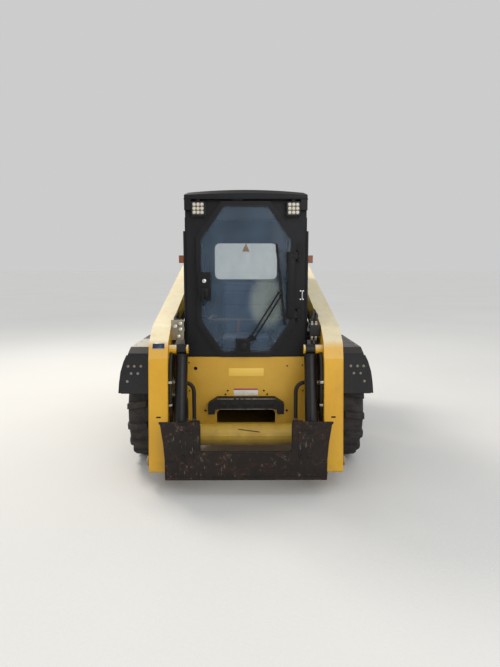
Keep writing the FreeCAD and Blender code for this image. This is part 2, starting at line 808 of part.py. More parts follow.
# Fenders: bent plate over each front and rear tyre with a bracket to the tub, cut slanting at its outer edge
def build_fenders():
    body = new_body("fenders")
    width = size.fender_outer - size.fender_inner
    thick = size.fender_plate
    top = size.fender_top
    shelf = size.fender_shelf
    for name, side in SIDES:
        for profile, start, end in fender_profiles():
            pad(body, "YZ", across(side, size.fender_inner, width), width, [profile])
            reach = size.fender_inner - size.tub_half + thick
            arm = rectangle(start, shelf, end, shelf + thick)
            pad(body, "YZ", across(side, size.tub_half, reach), reach, [arm])
            web = rectangle(start, shelf, end, top - thick / 2)
            pad(body, "YZ", across(side, size.fender_inner, thick), thick, [web])
            foot = rectangle(start, shelf - 60, end, shelf + thick)
            pad(body, "YZ", across(side, size.tub_half, thick), thick, [foot])
        beyond = size.fender_outer + thick
        flare = [(size.fender_outer * side, size.fender_flare_bottom), (beyond * side, size.fender_flare_bottom),
                 (beyond * side, top + thick), (size.fender_top_outer * side, top + thick),
                 (size.fender_top_outer * side, top)]
        pocket(body, "XZ", size.fender_front - thick, size.rear_fender_rear - size.fender_front + thick * 2,
               [flare if side > 0 else flare[::-1]])
    return body


# Cab shell: hollow frame with door opening, side windows and rear window cut through its walls
def door_outline(inset):
    """The eight-sided door, drawn as much smaller as the inset says."""
    slant = inset * 0.6
    return [(size.door_bottom_half * -1 + slant, size.door_bottom + inset),
            (size.door_bottom_half - slant, size.door_bottom + inset),
            (size.door_half - inset, size.door_hip + slant), (size.door_half - inset, size.door_shoulder - slant),
            (size.door_top_half - slant, size.door_top - inset),
            (size.door_top_half * -1 + slant, size.door_top - inset),
            (inset - size.door_half, size.door_shoulder - slant), (inset - size.door_half, size.door_hip + slant)]


def window_side(inset):
    front = size.side_window_front + inset
    rear = size.side_window_rear - inset
    low = size.side_window_bottom + inset
    high = size.side_window_top - inset
    round_by = size.side_window_corner
    return [(front, low, round_by), (rear, low, round_by), (rear, high, round_by),
            (front + size.side_window_lean, high, round_by)]


def window_rear(inset):
    half = size.rear_window_half - inset
    low = size.rear_window_bottom + inset
    high = size.rear_window_top - inset
    round_by = size.rear_window_corner
    return [(-half, low, round_by), (half, low, round_by), (half, high, round_by), (-half, high, round_by)]


def build_cab_shell():
    body = new_body("cab_shell")
    depth = size.cab_rear - size.cab_front
    base = size.tub_top + size.seat_gap
    outer = rectangle(-size.cab_half, size.cab_front, size.cab_half, size.cab_rear)
    pad(body, "XY", base, size.cab_top - base, [outer])
    inner_half = size.cab_half - size.cab_wall
    inner = rectangle(-inner_half, size.cab_front + size.cab_wall, inner_half, size.cab_rear - size.cab_wall)
    pocket(body, "XY", base - 1, size.cab_top - base + 2, [inner])
    pocket(body, "XZ", size.cab_front - 1, size.cab_wall + 2, [door_outline(18)])
    pocket(body, "YZ", -size.cab_half - 1, size.cab_half * 2 + 2, [window_side(0)])
    pocket(body, "XZ", size.cab_rear - size.cab_wall - 1, size.cab_wall + 2, [window_rear(0)])
    add_door_hinges(body)
    for name, side in SIDES:
        reach = inner_half - size.lap_bar_half + size.ear_gap
        pad(body, "YZ", across(side, inner_half - reach, reach), reach, [],
            [((size.lap_bar_y, size.lap_bar_z), size.lap_bar_pin)])
        add_hood_hinge(body, side)
    return body


def add_door_hinges(body):
    """The lugs and pins on the front of the cab that carry the door."""
    door_face = size.cab_front - size.door_gap - size.door_thickness
    lug = rectangle(size.door_hinge_x - size.hinge_lug, door_face - 15, size.door_hinge_x + size.hinge_lug,
                    size.cab_front)
    for height in (size.door_hinge_low, size.door_hinge_high):
        add_hinge_stack(body, height, lug, (size.door_hinge_x, door_face - size.door_gap), size.door_hinge_pin)


def add_hood_hinge(body, side):
    """A pair of lugs and their pin on the back of the cab for the hood."""
    lug = rectangle(size.cab_rear, size.hood_hinge_z - 14, size.hood_hinge_y + 12, size.hood_hinge_z + 14)
    for near in (size.hood_hinge_x, size.hood_hinge_x + 30):
        pad(body, "YZ", across(side, near, size.hinge_lug), size.hinge_lug, [lug])
    pin = (size.hood_hinge_y, size.hood_hinge_z)
    pad(body, "YZ", across(side, size.hood_hinge_x, 42), 42, [], [(pin, size.hood_hinge_pin)])


# Cab roof: pressed pan with a visor over the door
def build_cab_roof():
    body = new_body("cab_roof")
    base = size.cab_top + size.seat_gap
    outline = [(size.roof_front, base), (size.roof_rear, base), (size.roof_rear, 2020, 20),
               (200, size.roof_crest, 30), (-740, size.roof_crest, 60), (size.roof_front + 35, 2035, 20),
               (size.roof_front, 2005, 10)]
    pad(body, "YZ", -size.cab_half, size.cab_half * 2, [outline])
    edge = size.roof_crest - size.roof_crown
    crown = [(-size.cab_half, base - 10), (size.cab_half, base - 10), (size.cab_half, edge, size.roof_corner),
             (size.roof_crown_half, size.roof_crest), (-size.roof_crown_half, size.roof_crest),
             (-size.cab_half, edge, size.roof_corner)]
    around = rectangle(-size.cab_half - 20, base - 20, size.cab_half + 20, size.roof_crest + 20)
    pocket(body, "XZ", size.roof_front - 1, size.roof_rear - size.roof_front + 2, [around, crown])
    inner_half = size.cab_half - size.cab_wall
    pan = rectangle(-inner_half, size.cab_front + size.cab_wall, inner_half, size.cab_rear - size.cab_wall)
    pocket(body, "XY", base - 1, 50, [pan])
    cheek_inner = size.lamp_x + size.lamp_size / 2 + size.seat_gap
    width = size.cab_half - cheek_inner
    cheek = rectangle(size.roof_front, size.cheek_bottom, size.cab_front - size.seat_gap, base + 10)
    for name, side in SIDES:
        pad(body, "YZ", across(side, cheek_inner, width), width, [cheek])
    return body


# Cab glass: fixed side panes and rear pane in their openings
def build_cab_glass():
    body = new_body("cab_glass")
    gap = size.seat_gap
    inset = (size.cab_wall - size.glass_thickness) / 2
    for name, side in SIDES:
        start = across(side, size.cab_half - inset - size.glass_thickness, size.glass_thickness)
        pad(body, "YZ", start, size.glass_thickness, [window_side(gap)])
    pad(body, "XZ", size.cab_rear - inset - size.glass_thickness, size.glass_thickness, [window_rear(gap)])
    return body


# Cab floor: footwell plate and the bulkhead before the engine
def build_cab_floor():
    body = new_body("cab_floor")
    half = size.tub_half - size.plate - size.seat_gap
    front = size.tub_front + size.plate + size.seat_gap
    back = size.cab_rear - size.cab_wall
    profile = [(front, size.floor_top - size.plate), (back + size.plate, size.floor_top - size.plate),
               (back + size.plate, size.tub_top), (back, size.tub_top), (back, size.floor_top),
               (front, size.floor_top)]
    pad(body, "YZ", -half, half * 2, [profile])
    return body


# Seat base: box pedestal with the backrest's steel frame
def build_seat_base():
    body = new_body("seat_base")
    top = size.cushion_bottom - size.seat_gap
    rear = size.seat_rear
    box = [(size.seat_front, size.floor_top), (rear, size.floor_top), (rear, size.seat_back_top),
           (rear - 14, size.seat_back_top), (rear - 34, top - 8), (size.seat_front, top)]
    pad(body, "YZ", -size.seat_base_half, size.seat_base_half * 2, [box])
    return body


# Seat cushions: the seat pad and the backrest pad
def build_seat_cushions():
    body = new_body("seat_cushions")
    half = size.seat_half
    pad(body, "XY", size.cushion_bottom, size.cushion_top - size.cushion_bottom,
        [[(-half, size.cushion_front, 60), (half, size.cushion_front, 60), (half, size.cushion_rear, 40),
          (-half, size.cushion_rear, 40)]])
    rear = size.seat_rear
    low = size.cushion_top - 40
    high = size.seat_back_top - 10
    back = [(rear - 135, low), (rear - 31.8, low), (rear - 14.6, high, 30), (rear - 100, high, 30)]
    pad(body, "YZ", -half, half * 2, [back])
    return body


# Control pods: armrest boxes beside the seat, each with its joystick
def build_control_pods():
    body = new_body("control_pods")
    low = size.pod_bottom
    high = size.pod_top
    pod = [(size.pod_front, low), (size.pod_rear, low), (size.pod_rear, high - 45), (size.pod_front + 100, high),
           (size.pod_front + 12, high - 13), (size.pod_front, high - 30)]
    for name, side in SIDES:
        pillar = rectangle(size.pod_front + 180, size.floor_top, size.pod_front + 310, low)
        pad(body, "YZ", across(side, size.pod_inner, 44), 44, [pillar])
        pad(body, "YZ", across(side, size.pod_inner, size.pod_width), size.pod_width, [pod])
        stick = (size.stick_x * side, size.stick_y)
        pad(body, "XY", high - 25, 150, [], [(stick, 11, HOLE_SIDES)])
        pad(body, "XY", high + 125, 60, [], [(stick, 21, HOLE_SIDES)])
    return body


# Lap bar: padded restraint bar that swings up over the seat
def build_lap_bar():
    body = new_body("lap_bar")
    pivot = (size.lap_bar_y, size.lap_bar_z)
    arm = [(size.lap_bar_y - 30, size.lap_bar_z - 18), (size.lap_bar_y, size.lap_bar_z - 28),
           (size.lap_bar_y, size.lap_bar_z + 28), (-400, 1078), (-420, 1078), (-420, 1046), (-396, 1042)]
    for name, side in SIDES:
        start = across(side, size.lap_bar_half, size.lap_bar_arm)
        pad(body, "YZ", start, size.lap_bar_arm, [arm])
        pad(body, "YZ", start, size.lap_bar_arm, [], [(pivot, size.lap_bar_pin + 14, HOLE_SIDES)])
    pad(body, "YZ", -size.lap_bar_half, size.lap_bar_half * 2, [], [((-408, 1060), 17, HOLE_SIDES)])
    bore = clear_of(size.lap_bar_pin + size.seat_gap, HOLE_SIDES)
    pocket(body, "YZ", -size.lap_bar_half - 30, size.lap_bar_half * 2 + 60, [], [(pivot, bore, HOLE_SIDES)])
    return body


# Work lamps: square lamp in a housing at each top corner of the cab's front
def build_work_lamps():
    body = new_body("work_lamps")
    half = size.lamp_size / 2
    for name, side in SIDES:
        centre = size.lamp_x * side
        square = rectangle(centre - half, size.lamp_z - half, centre + half, size.lamp_z + half)
        pad(body, "XZ", size.cab_front - size.lamp_depth, size.lamp_depth, [square])
    return body


# Rear lamps: amber lamp blocks on the uprights' brackets
def build_rear_lamps():
    body = new_body("rear_lamps")
    width = size.rear_lamp_width
    block = rectangle(size.rear_lamp_y - size.rear_lamp_depth, size.rear_lamp_z - 42, size.rear_lamp_y,
                      size.rear_lamp_z + 43)
    for name, side in SIDES:
        pad(body, "YZ", across(side, size.rear_lamp_inner, width), width, [block])
    return body


# Front door: eight-sided frame with its hinge straps
def build_door_frame():
    body = new_body("door_frame")
    front = size.cab_front - size.door_gap - size.door_thickness
    pad(body, "XZ", front, size.door_thickness, [door_outline(0), door_outline(size.door_rim)])
    axis = (size.door_hinge_x, front - size.door_gap)
    room = clear_of(size.door_hinge_pin + size.seat_gap, HOLE_SIDES)
    reach = size.strap_half
    for height in (size.door_hinge_low, size.door_hinge_high):
        strap = rectangle(285, height - reach, size.door_hinge_x, height + reach)
        pad(body, "XZ", front - 9, 9, [strap])
        pad(body, "XY", height - reach, reach * 2, [],
            [(axis, size.door_hinge_pin + size.door_gap, HOLE_SIDES)])
        pocket(body, "XY", height - reach - 1, reach * 2 + 2, [], [(axis, room, HOLE_SIDES)])
    return body


# Door glass: one pane that fills the frame
def build_door_glass():
    body = new_body("door_glass")
    middle = size.cab_front - size.door_gap - size.door_thickness / 2 - size.glass_thickness / 2
    pad(body, "XZ", middle, size.glass_thickness, [door_outline(size.door_rim + size.seat_gap)])
    return body


# Door fittings: latch box with its handle, and the wiper with its two arms and blade
def build_door_fittings():
    body = new_body("door_fittings")
    front = size.cab_front - size.door_gap - size.door_thickness
    pane = size.cab_front - size.door_gap - size.door_thickness / 2 - size.glass_thickness / 2 - size.seat_gap
    latch = rectangle(-338, 1262, -250, 1463)
    pad(body, "XZ", front - 34, 34, [latch])
    pad(body, "XZ", front - 44, 10, [], [((-292, 1402), 15)])
    motor = rectangle(-72, 884, 30, 988)
    pad(body, "XZ", front - 50, pane - front + 50, [motor])
    for low, high in (((40, 1010), (232, 1318)), ((62, 992), (254, 1304))):
        (x0, z0), (x1, z1) = low, high
        arm = [(x0 - 5, z0 + 3), (x0 + 5, z0 - 3), (x1 + 5, z1 - 3), (x1 - 5, z1 + 3)]
        pad(body, "XZ", front - 22, 8, [arm])
    link = [(10, 960), (68, 985), (60, 1006), (32, 1020), (0, 980)]
    pad(body, "XZ", front - 30, 16, [link])
    blade = [(208, 1656), (222, 1656), (286, 1086), (272, 1086)]
    pad(body, "XZ", front - 22, pane - front + 22, [blade])
    return body


# Hood: shallow lid over the engine with a row of louvre slots
def build_hood():
    body = new_body("hood")
    half = size.hood_half
    outer = [(size.hood_front, size.hood_bottom), (size.hood_rear, size.hood_bottom),
             (size.hood_rear - 60, size.hood_top - 10, 40), (size.hood_rear - 200, size.hood_top, 60),
             (size.hood_front, size.hood_top)]
    pad(body, "YZ", -half, half * 2, [outer])
    wall = size.plate
    inner = [(size.hood_front + wall, size.hood_bottom - 1), (size.hood_rear - 14, size.hood_bottom - 1),
             (size.hood_rear - 70, size.hood_top - 20), (size.hood_rear - 210, size.hood_top - wall),
             (size.hood_front + wall, size.hood_top - wall)]
    pocket(body, "YZ", wall - half, (half - wall) * 2, [inner])
    first = size.louvre_first
    slot = rectangle(-size.louvre_half, first, size.louvre_half, first + size.louvre_width)
    louvre = pocket(body, "XY", size.hood_top - 30, 40, [slot])
    row(body, [louvre], "Y_Axis", size.louvre_pitch, 9)
    pin = (size.hood_hinge_y, size.hood_hinge_z)
    for name, side in SIDES:
        start = across(side, size.hood_hinge_x + 14, 14)
        lug = rectangle(size.hood_hinge_y - 6, size.hood_top - 4, size.hood_hinge_y + 40, size.hood_hinge_z)
        pad(body, "YZ", start, 14, [lug])
        pad(body, "YZ", start, 14, [], [(pin, 12, HOLE_SIDES)])
    room = clear_of(size.hood_hinge_pin + size.seat_gap, HOLE_SIDES)
    pocket(body, "YZ", -half, half * 2, [], [(pin, room, HOLE_SIDES)])
    return body


# Rear door: pressed shell with a slotted grille and two hinge straps
def build_rear_door():
    body = new_body("rear_door")
    half = size.rear_door_half
    back = size.rear_door_front + size.rear_door_depth
    outer = [(-half, size.rear_door_bottom, 25), (half, size.rear_door_bottom, 25),
             (half, size.rear_door_top, 25), (-half, size.rear_door_top, 25)]
    pad(body, "XZ", size.rear_door_front, size.rear_door_depth, [outer])
    rim = 22
    inner = rectangle(rim - half, size.rear_door_bottom + rim, half - rim, size.rear_door_top - rim)
    pocket(body, "XZ", size.rear_door_front - 1, size.rear_door_depth - size.plate + 1, [inner])
    lowest = size.grille_bottom
    slot = rectangle(-size.grille_half, lowest, size.grille_half, lowest + size.grille_slot)
    grille = pocket(body, "XZ", back - 20, 30, [slot])
    row(body, [grille], "Z_Axis", size.grille_pitch, 10)
    axis = (size.rear_hinge_x, size.rear_hinge_y)
    room = clear_of(size.rear_hinge_pin + size.seat_gap, HOLE_SIDES)
    reach = size.strap_half
    for height in (size.rear_hinge_low, size.rear_hinge_high):
        strap = rectangle(size.rear_hinge_x, height - reach, size.rear_hinge_x + 78, height + reach)
        pad(body, "XZ", back, 8, [strap])
        pad(body, "XY", height - reach, reach * 2, [], [(axis, size.rear_hinge_pin * 2, HOLE_SIDES)])
        pocket(body, "XY", height - reach - 1, reach * 2 + 2, [], [(axis, room, HOLE_SIDES)])
    return body


# Lift arm: box-section boom with an elbow and a leg down to the coupler hinge
def arm_outline():
    foot = size.arm_foot_bottom
    return [(size.pivot_y, size.pivot_z - size.arm_eye_radius), (size.pivot_y, size.pivot_z + size.arm_eye_radius),
            (-1060, size.elbow_top, 120), (-1205, 985, 90), (-1238, 880), (size.arm_foot_front, foot + 90),
            (size.arm_foot_front, foot + 14), (size.arm_foot_front + 14, foot), (size.arm_foot_rear - 20, foot),
            (size.arm_foot_rear, foot + 20), (size.arm_leg_rear, size.torque_tube_z + 18),
            (size.arm_leg_rear, 620), (-1030, 862, 120), (-930, 940, 120)]


def build_lift_arm(label, side):
    body = new_body(label)
    pivot = (size.pivot_y, size.pivot_z)
    hinge = (size.hinge_y, size.hinge_z)
    start = across(side, size.arm_inner, size.arm_width)
    pad(body, "YZ", start, size.arm_width, [arm_outline()])
    pad(body, "YZ", start, size.arm_width, [], [(pivot, size.arm_eye_radius)])
    bore = size.pivot_pin_radius + size.seat_gap
    pocket(body, "YZ", across(side, size.arm_inner - 2, size.arm_width + 4), size.arm_width + 4, [],
           [(pivot, clear_of(bore, HOLE_SIDES), HOLE_SIDES)])
    rod = (size.lift_rod_y, size.lift_rod_z)
    ear = [(size.lift_rod_y + 90, size.lift_rod_z + 160), (size.lift_rod_y - 90, size.lift_rod_z + 120),
           (size.lift_rod_y - 34, size.lift_rod_z - 10), (size.lift_rod_y + 34, size.lift_rod_z - 10)]
    inner_ear = size.lift_x - size.eye_half_width - size.ear_gap - size.ear_thickness
    outer_ear = size.lift_x + size.eye_half_width + size.ear_gap
    for near in (inner_ear, outer_ear):
        at = across(side, near, size.ear_thickness)
        pad(body, "YZ", at, size.ear_thickness, [ear])
        pad(body, "YZ", at, size.ear_thickness, [], [(rod, size.eye_radius + 6, HOLE_SIDES)])
    add_tilt_bracket(body, side)
    pin_in = size.arm_inner - (size.tilt_x - coupler_ear_half() - size.coupler_ear)
    pad(body, "YZ", across(side, size.arm_inner - pin_in, pin_in + size.arm_width + size.cap_thickness),
        pin_in + size.arm_width + size.cap_thickness, [], [(hinge, size.hinge_pin_radius)])
    return body


def add_tilt_bracket(body, side):
    """The boss, the pin and its cap that carry the tilt cylinder's head on the leg's inner face."""
    centre = (size.tilt_base_y, size.tilt_base_z)
    eye_side = size.eye_half_width + size.ear_gap
    near = size.tilt_x - eye_side - size.cap_thickness
    reach = size.arm_inner - near
    boss = size.arm_inner - size.tilt_x - eye_side
    rim = size.pin_radius + size.boss_rim
    pad(body, "YZ", across(side, near, reach), reach, [], [(centre, size.pin_radius)])
    pad(body, "YZ", across(side, near, size.cap_thickness), size.cap_thickness, [], [(centre, rim, HOLE_SIDES)])
    pad(body, "YZ", across(side, size.tilt_x + eye_side, boss), boss, [], [(centre, rim, HOLE_SIDES)])


def coupler_ear_half():
    """How far the coupler's ears stand from the tilt cylinder's middle, so that its gland passes between."""
    return size.tilt_barrel_radius + size.gland_rim + size.ear_gap


# Torque tube: round cross tube that ties the two arm legs together
def build_torque_tube():
    body = new_body("torque_tube")
    centre = (size.torque_tube_y, size.torque_tube_z)
    radius = size.torque_tube_radius
    pad(body, "YZ", -size.arm_inner, size.arm_inner * 2, [],
        [(centre, radius, CYLINDER_SIDES), (centre, radius - size.torque_tube_wall, HOLE_SIDES)])
    return body


# Arm hoses: rubber hoses bent down from the legs' inner faces to fittings on the torque tube
def build_arm_hoses():
    body = new_body("arm_hoses")
    plane = size.torque_tube_y
    flat = size.torque_tube_radius * math.cos(math.pi / CYLINDER_SIDES)
    tube_top = size.torque_tube_z + flat + size.seat_gap
    wall = size.arm_inner - size.seat_gap
    fitting = size.hose_fitting_length
    routes = ((-1, size.hose_inner_x, size.hose_inner_z), (-1, size.hose_outer_x, size.hose_outer_z),
              (1, size.hose_right_x, size.hose_inner_z))
    for side, drop, level in routes:
        drop_x = drop * side
        spine = sketch_at(body, "XZ", -plane)
        draw_path(spine, (wall * side, level), (drop_x, level), (drop_x, tube_top + 2), size.hose_bend)
        profile = sketch_at(body, "YZ", wall * side)
        draw_sides(profile, (plane, level), size.hose_radius, HOSE_SIDES)
        hose = body.newObject("PartDesign::AdditivePipe", "arm_hose")
        hose.Profile = profile
        hose.Spine = (spine, ["Edge1", "Edge2", "Edge3"])
        profile.Visibility = False
        spine.Visibility = False
        document.recompute()
        report_hose(hose, spine)
        pad(body, "YZ", across(side, wall - fitting, fitting), fitting, [],
            [((plane, level), size.hose_fitting_radius, HOSE_SIDES)])
        pad(body, "XY", tube_top, fitting, [], [((drop_x, plane), size.hose_fitting_radius, HOSE_SIDES)])
    return body


def report_hose(hose, spine):
    """Print the bend and the volume of one hose beside its section times its length."""
    sides = HOSE_SIDES * math.sin(2 * math.pi / HOSE_SIDES) / 2
    expected = sides * size.hose_radius.value ** 2 * spine.Shape.Length
    print("hose: bend radius %.0f mm, length %.0f mm, volume %.2f cm3, section x length %.2f cm3"
          % (size.hose_bend.value, spine.Shape.Length, hose.AddSubShape.Volume / 1000, expected / 1000))


# Cylinder barrel: honed tube with a base eye and a screwed gland, its pin at the local origin
def build_barrel(label, side, kind):
    body = new_body(label)
    eye = size.eye_radius
    bore_start = eye + 16
    end = kind.rest_length - kind.spare - size.eye_radius - 12
    turned = size.eye_half_width
    pad(body, "YZ", -turned, turned * 2, [rectangle(-24, eye / 2, 24, bore_start)])
    pad(body, "YZ", -turned, turned * 2, [], [((0, 0), eye)])
    pad(body, "XY", bore_start - 14, 14, [], [((0, 0), kind.barrel, CYLINDER_SIDES)])
    tube = end - size.gland_length - bore_start
    pad(body, "XY", bore_start, tube, [],
        [((0, 0), kind.barrel, CYLINDER_SIDES), ((0, 0), kind.bore, HOLE_SIDES)])
    pad(body, "XY", end - size.gland_length, size.gland_length, [],
        [((0, 0), kind.barrel + size.gland_rim, CYLINDER_SIDES),
         ((0, 0), clear_of(kind.rod + size.seat_gap, HOLE_SIDES), HOLE_SIDES)])
    pocket(body, "YZ", -turned - 1, turned * 2 + 2, [],
           [((0, 0), clear_of(size.pin_radius + size.seat_gap, HOLE_SIDES), HOLE_SIDES)])
    place_cylinder(body, side, kind)
    return body


# Cylinder rod: chromed rod with its piston inside the barrel and its eye at the pin
def build_rod(label, side, kind):
    body = new_body(label)
    turned = kind.rod_eye_half
    inner = size.eye_radius + 16 + kind.spare
    shaft = kind.rest_length - inner - size.eye_radius + 6
    pad(body, "XY", inner, shaft, [], [((0, 0), kind.rod, CYLINDER_SIDES)])
    pad(body, "XY", inner, 30, [], [((0, 0), kind.bore - size.seat_gap, HOLE_SIDES)])
    pad(body, "YZ", -turned, turned * 2, [], [((0, kind.rest_length), size.eye_radius)])
    place_cylinder(body, side, kind)
    return body


def place_cylinder(body, side, kind):
    place(body, kind.x * side, kind.base_y, kind.base_z)
    body.Placement.Rotation = FreeCAD.Rotation(FreeCAD.Vector(1, 0, 0), 0)
    rise = kind.rod_z - kind.base_z
    run = kind.base_y - kind.rod_y
    bind(body, ".Placement.Rotation.Axis.x", 1)
    bind(body, ".Placement.Rotation.Axis.y", 0)
    bind(body, ".Placement.Rotation.Axis.z", 0)
    body.setExpression(".Placement.Rotation.Angle", "atan2(%s; %s)" % (run.text, rise.text))


def cylinder_kind(prefix):
    """The sizes of one pair of cylinders, read from the sheet by the pair's name."""
    def read(name):
        return getattr(size, "%s_%s" % (prefix, name))
    kind = SimpleNamespace(x=read("x"), base_y=read("base_y"), base_z=read("base_z"), rod_y=read("rod_y"),
                           rod_z=read("rod_z"), barrel=read("barrel_radius"), bore=read("bore_radius"),
                           rod=read("rod_radius"), spare=read("spare_stroke"))
    run = kind.rod_y - kind.base_y
    rise = kind.rod_z - kind.base_z
    kind.rest_length = square_root(run * run + rise * rise)
    kind.rod_eye_half = coupler_ear_half() - size.ear_gap if prefix == "tilt" else size.eye_half_width
    return kind


# Quick coupler: front plate with two towers, hinge ears for the arms and ears for the tilt rods
def build_coupler():
    body = new_body("coupler")
    rear = size.coupler_face + size.coupler_plate
    low = size.coupler_bottom
    half = size.coupler_bottom_half
    right = [(half, low), (half, low + 142), (half + 8, low + 249),
             (size.coupler_top_half - 10, size.coupler_top - 14),
             (size.coupler_top_half, size.coupler_top), (size.tower_inner, size.coupler_top),
             (size.tower_inner, size.coupler_mid_top)]
    left = [(-u, v) for u, v in reversed(right)]
    pad(body, "XZ", size.coupler_face, size.coupler_plate, [right + left])
    hinge = (size.hinge_y, size.hinge_z)
    rod = (size.tilt_rod_y, size.tilt_rod_z)
    ear = [(rear - 1, low + 10), (size.hinge_y, size.hinge_z - 50), (size.hinge_y + 34, size.hinge_z - 30),
           (size.hinge_y + 50, size.hinge_z + 8), (size.tilt_rod_y + 40, size.tilt_rod_z + 10),
           (size.tilt_rod_y - 10, size.tilt_rod_z + 40), (rear - 1, size.coupler_top - 40)]
    inner_ear = size.tilt_x - coupler_ear_half() - size.coupler_ear
    outer_ear = size.tilt_x + coupler_ear_half()
    for name, side in SIDES:
        for near in (inner_ear, outer_ear):
            at = across(side, near, size.coupler_ear)
            pad(body, "YZ", at, size.coupler_ear, [ear])
            pad(body, "YZ", at, size.coupler_ear, [], [(hinge, 52, HOLE_SIDES)])
            pad(body, "YZ", at, size.coupler_ear, [], [(rod, 42, HOLE_SIDES)])
    pad(body, "YZ", -half, half * 2, [rectangle(rear - 1, low, rear + 50, low + 46)])
    bore = clear_of(size.hinge_pin_radius + size.seat_gap, HOLE_SIDES)
    pocket(body, "YZ", -half, half * 2, [], [(hinge, bore, HOLE_SIDES)])
    return body


# Coupler latches: a hand lever with its wedge on the back of each tower
def build_coupler_latches():
    body = new_body("coupler_latches")
    rear = size.coupler_face + size.coupler_plate + size.seat_gap
    for name, side in SIDES:
        centre = size.latch_x * side
        knob = size.coupler_top - 27
        pad(body, "XZ", rear, 16, [rectangle(centre - 16, size.coupler_bottom + 65, centre + 16, knob)])
        pad(body, "XZ", rear, 30, [rectangle(centre - 34, knob, centre + 34, size.coupler_top + 3)])
    return body


BUILDERS = [
    build_chassis_tub, build_front_panel, build_entry_step, build_uprights, build_axle_housings,
    build_engine_block, build_rear_bumper, build_fenders, build_cab_shell, build_cab_roof, build_cab_glass,
    build_cab_floor, build_seat_base, build_seat_cushions, build_control_pods, build_lap_bar,
    build_work_lamps, build_rear_lamps, build_door_frame, build_door_glass, build_door_fittings, build_hood,
    build_rear_door, build_torque_tube, build_arm_hoses, build_coupler, build_coupler_latches,
]


def build_all():
    bodies = [build() for build in BUILDERS]
    lift = cylinder_kind("lift")
    tilt = cylinder_kind("tilt")
    for name, side in SIDES:
        bodies.append(build_lift_arm("lift_arm_" + name, side))
        bodies.append(build_barrel("lift_barrel_" + name, side, lift))
        bodies.append(build_rod("lift_rod_" + name, side, lift))
        bodies.append(build_barrel("tilt_barrel_" + name, side, tilt))
        bodies.append(build_rod("tilt_rod_" + name, side, tilt))
        for end, axle in (("front", size.front_axle_y), ("rear", size.rear_axle_y)):
            bodies.append(build_tyre("tyre_%s_%s" % (end, name), size.wheel_track_half * side, axle))
            bodies.append(build_wheel("wheel_%s_%s" % (end, name), side, axle))
    return bodies


def check_and_export(bodies):
    """Stop on any failed object or empty shape, then write one file per sub-part."""
    document.recompute()
    for thing in document.Objects:
        if "Invalid" in thing.State or "Error" in thing.State:
            raise RuntimeError("%s failed: %s" % (thing.Name, thing.State))
    for body in bodies:
        if body.Shape.isNull() or not body.Shape.isValid():
            raise RuntimeError("%s has no sound shape" % body.Label)
    os.makedirs("parts", exist_ok=True)
    for body in bodies:
        body.Shape.exportStep("parts/%s.step" % body.Label)
        print("%-22s %2d solids %10.1f cm3" % (body.Label, len(body.Shape.Solids), body.Shape.Volume / 1000))


check_and_export(build_all())
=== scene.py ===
import math
import random

import bmesh
import bpy
from mathutils import Matrix, Vector
from mathutils.bvhtree import BVHTree


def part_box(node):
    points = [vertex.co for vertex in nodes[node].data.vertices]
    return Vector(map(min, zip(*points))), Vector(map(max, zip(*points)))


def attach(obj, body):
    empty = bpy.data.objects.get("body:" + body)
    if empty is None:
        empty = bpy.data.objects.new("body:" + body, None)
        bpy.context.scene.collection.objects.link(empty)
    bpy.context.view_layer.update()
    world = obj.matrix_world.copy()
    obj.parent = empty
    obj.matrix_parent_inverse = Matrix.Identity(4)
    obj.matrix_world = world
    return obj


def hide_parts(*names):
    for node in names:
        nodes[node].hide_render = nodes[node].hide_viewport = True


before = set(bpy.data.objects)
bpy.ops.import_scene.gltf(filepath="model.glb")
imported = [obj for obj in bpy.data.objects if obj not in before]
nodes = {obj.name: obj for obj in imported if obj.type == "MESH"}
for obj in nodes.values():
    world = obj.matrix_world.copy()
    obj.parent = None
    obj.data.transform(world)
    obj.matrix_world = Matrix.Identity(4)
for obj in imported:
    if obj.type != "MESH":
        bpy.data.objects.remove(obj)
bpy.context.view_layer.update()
random.seed(7)


# The ground it stands on, a plain pale studio floor under an even pale sky.
# The camera stands in front at eye height, as far off as the pictured view, and looks slightly down.
def add_object(name, data):
    made = bpy.data.objects.new(name, data)
    bpy.context.scene.collection.objects.link(made)
    return made


lens = bpy.data.cameras.new("camera")
lens.sensor_fit = "HORIZONTAL"
lens.sensor_width = 36.0
lens.lens = 36.07
camera = add_object("camera", lens)
camera.location = (0.0, -4.58, 1.47)
camera.rotation_euler = (math.radians(90 - 7.1), 0, math.radians(-0.46))
bpy.context.scene.camera = camera
bpy.context.scene.view_settings.view_transform = "Standard"


def add_lamp(name, spot, target, width, strength, colour):
    lamp = bpy.data.lights.new(name, "AREA")
    lamp.size = width
    lamp.energy = strength
    lamp.color = colour
    made = add_object(name, lamp)
    made.location = spot
    made.rotation_euler = (Vector(target) - Vector(spot)).to_track_quat("-Z", "Y").to_euler()
    return made


add_lamp("sun_side", (-3.4, 2.6, 6.4), (0, -0.3, 0.8), 2.0, 340, (1.0, 0.95, 0.86))
add_lamp("front_fill", (2.2, -6.2, 3.4), (0, -0.6, 0.8), 4.0, 90, (0.95, 0.97, 1.0))


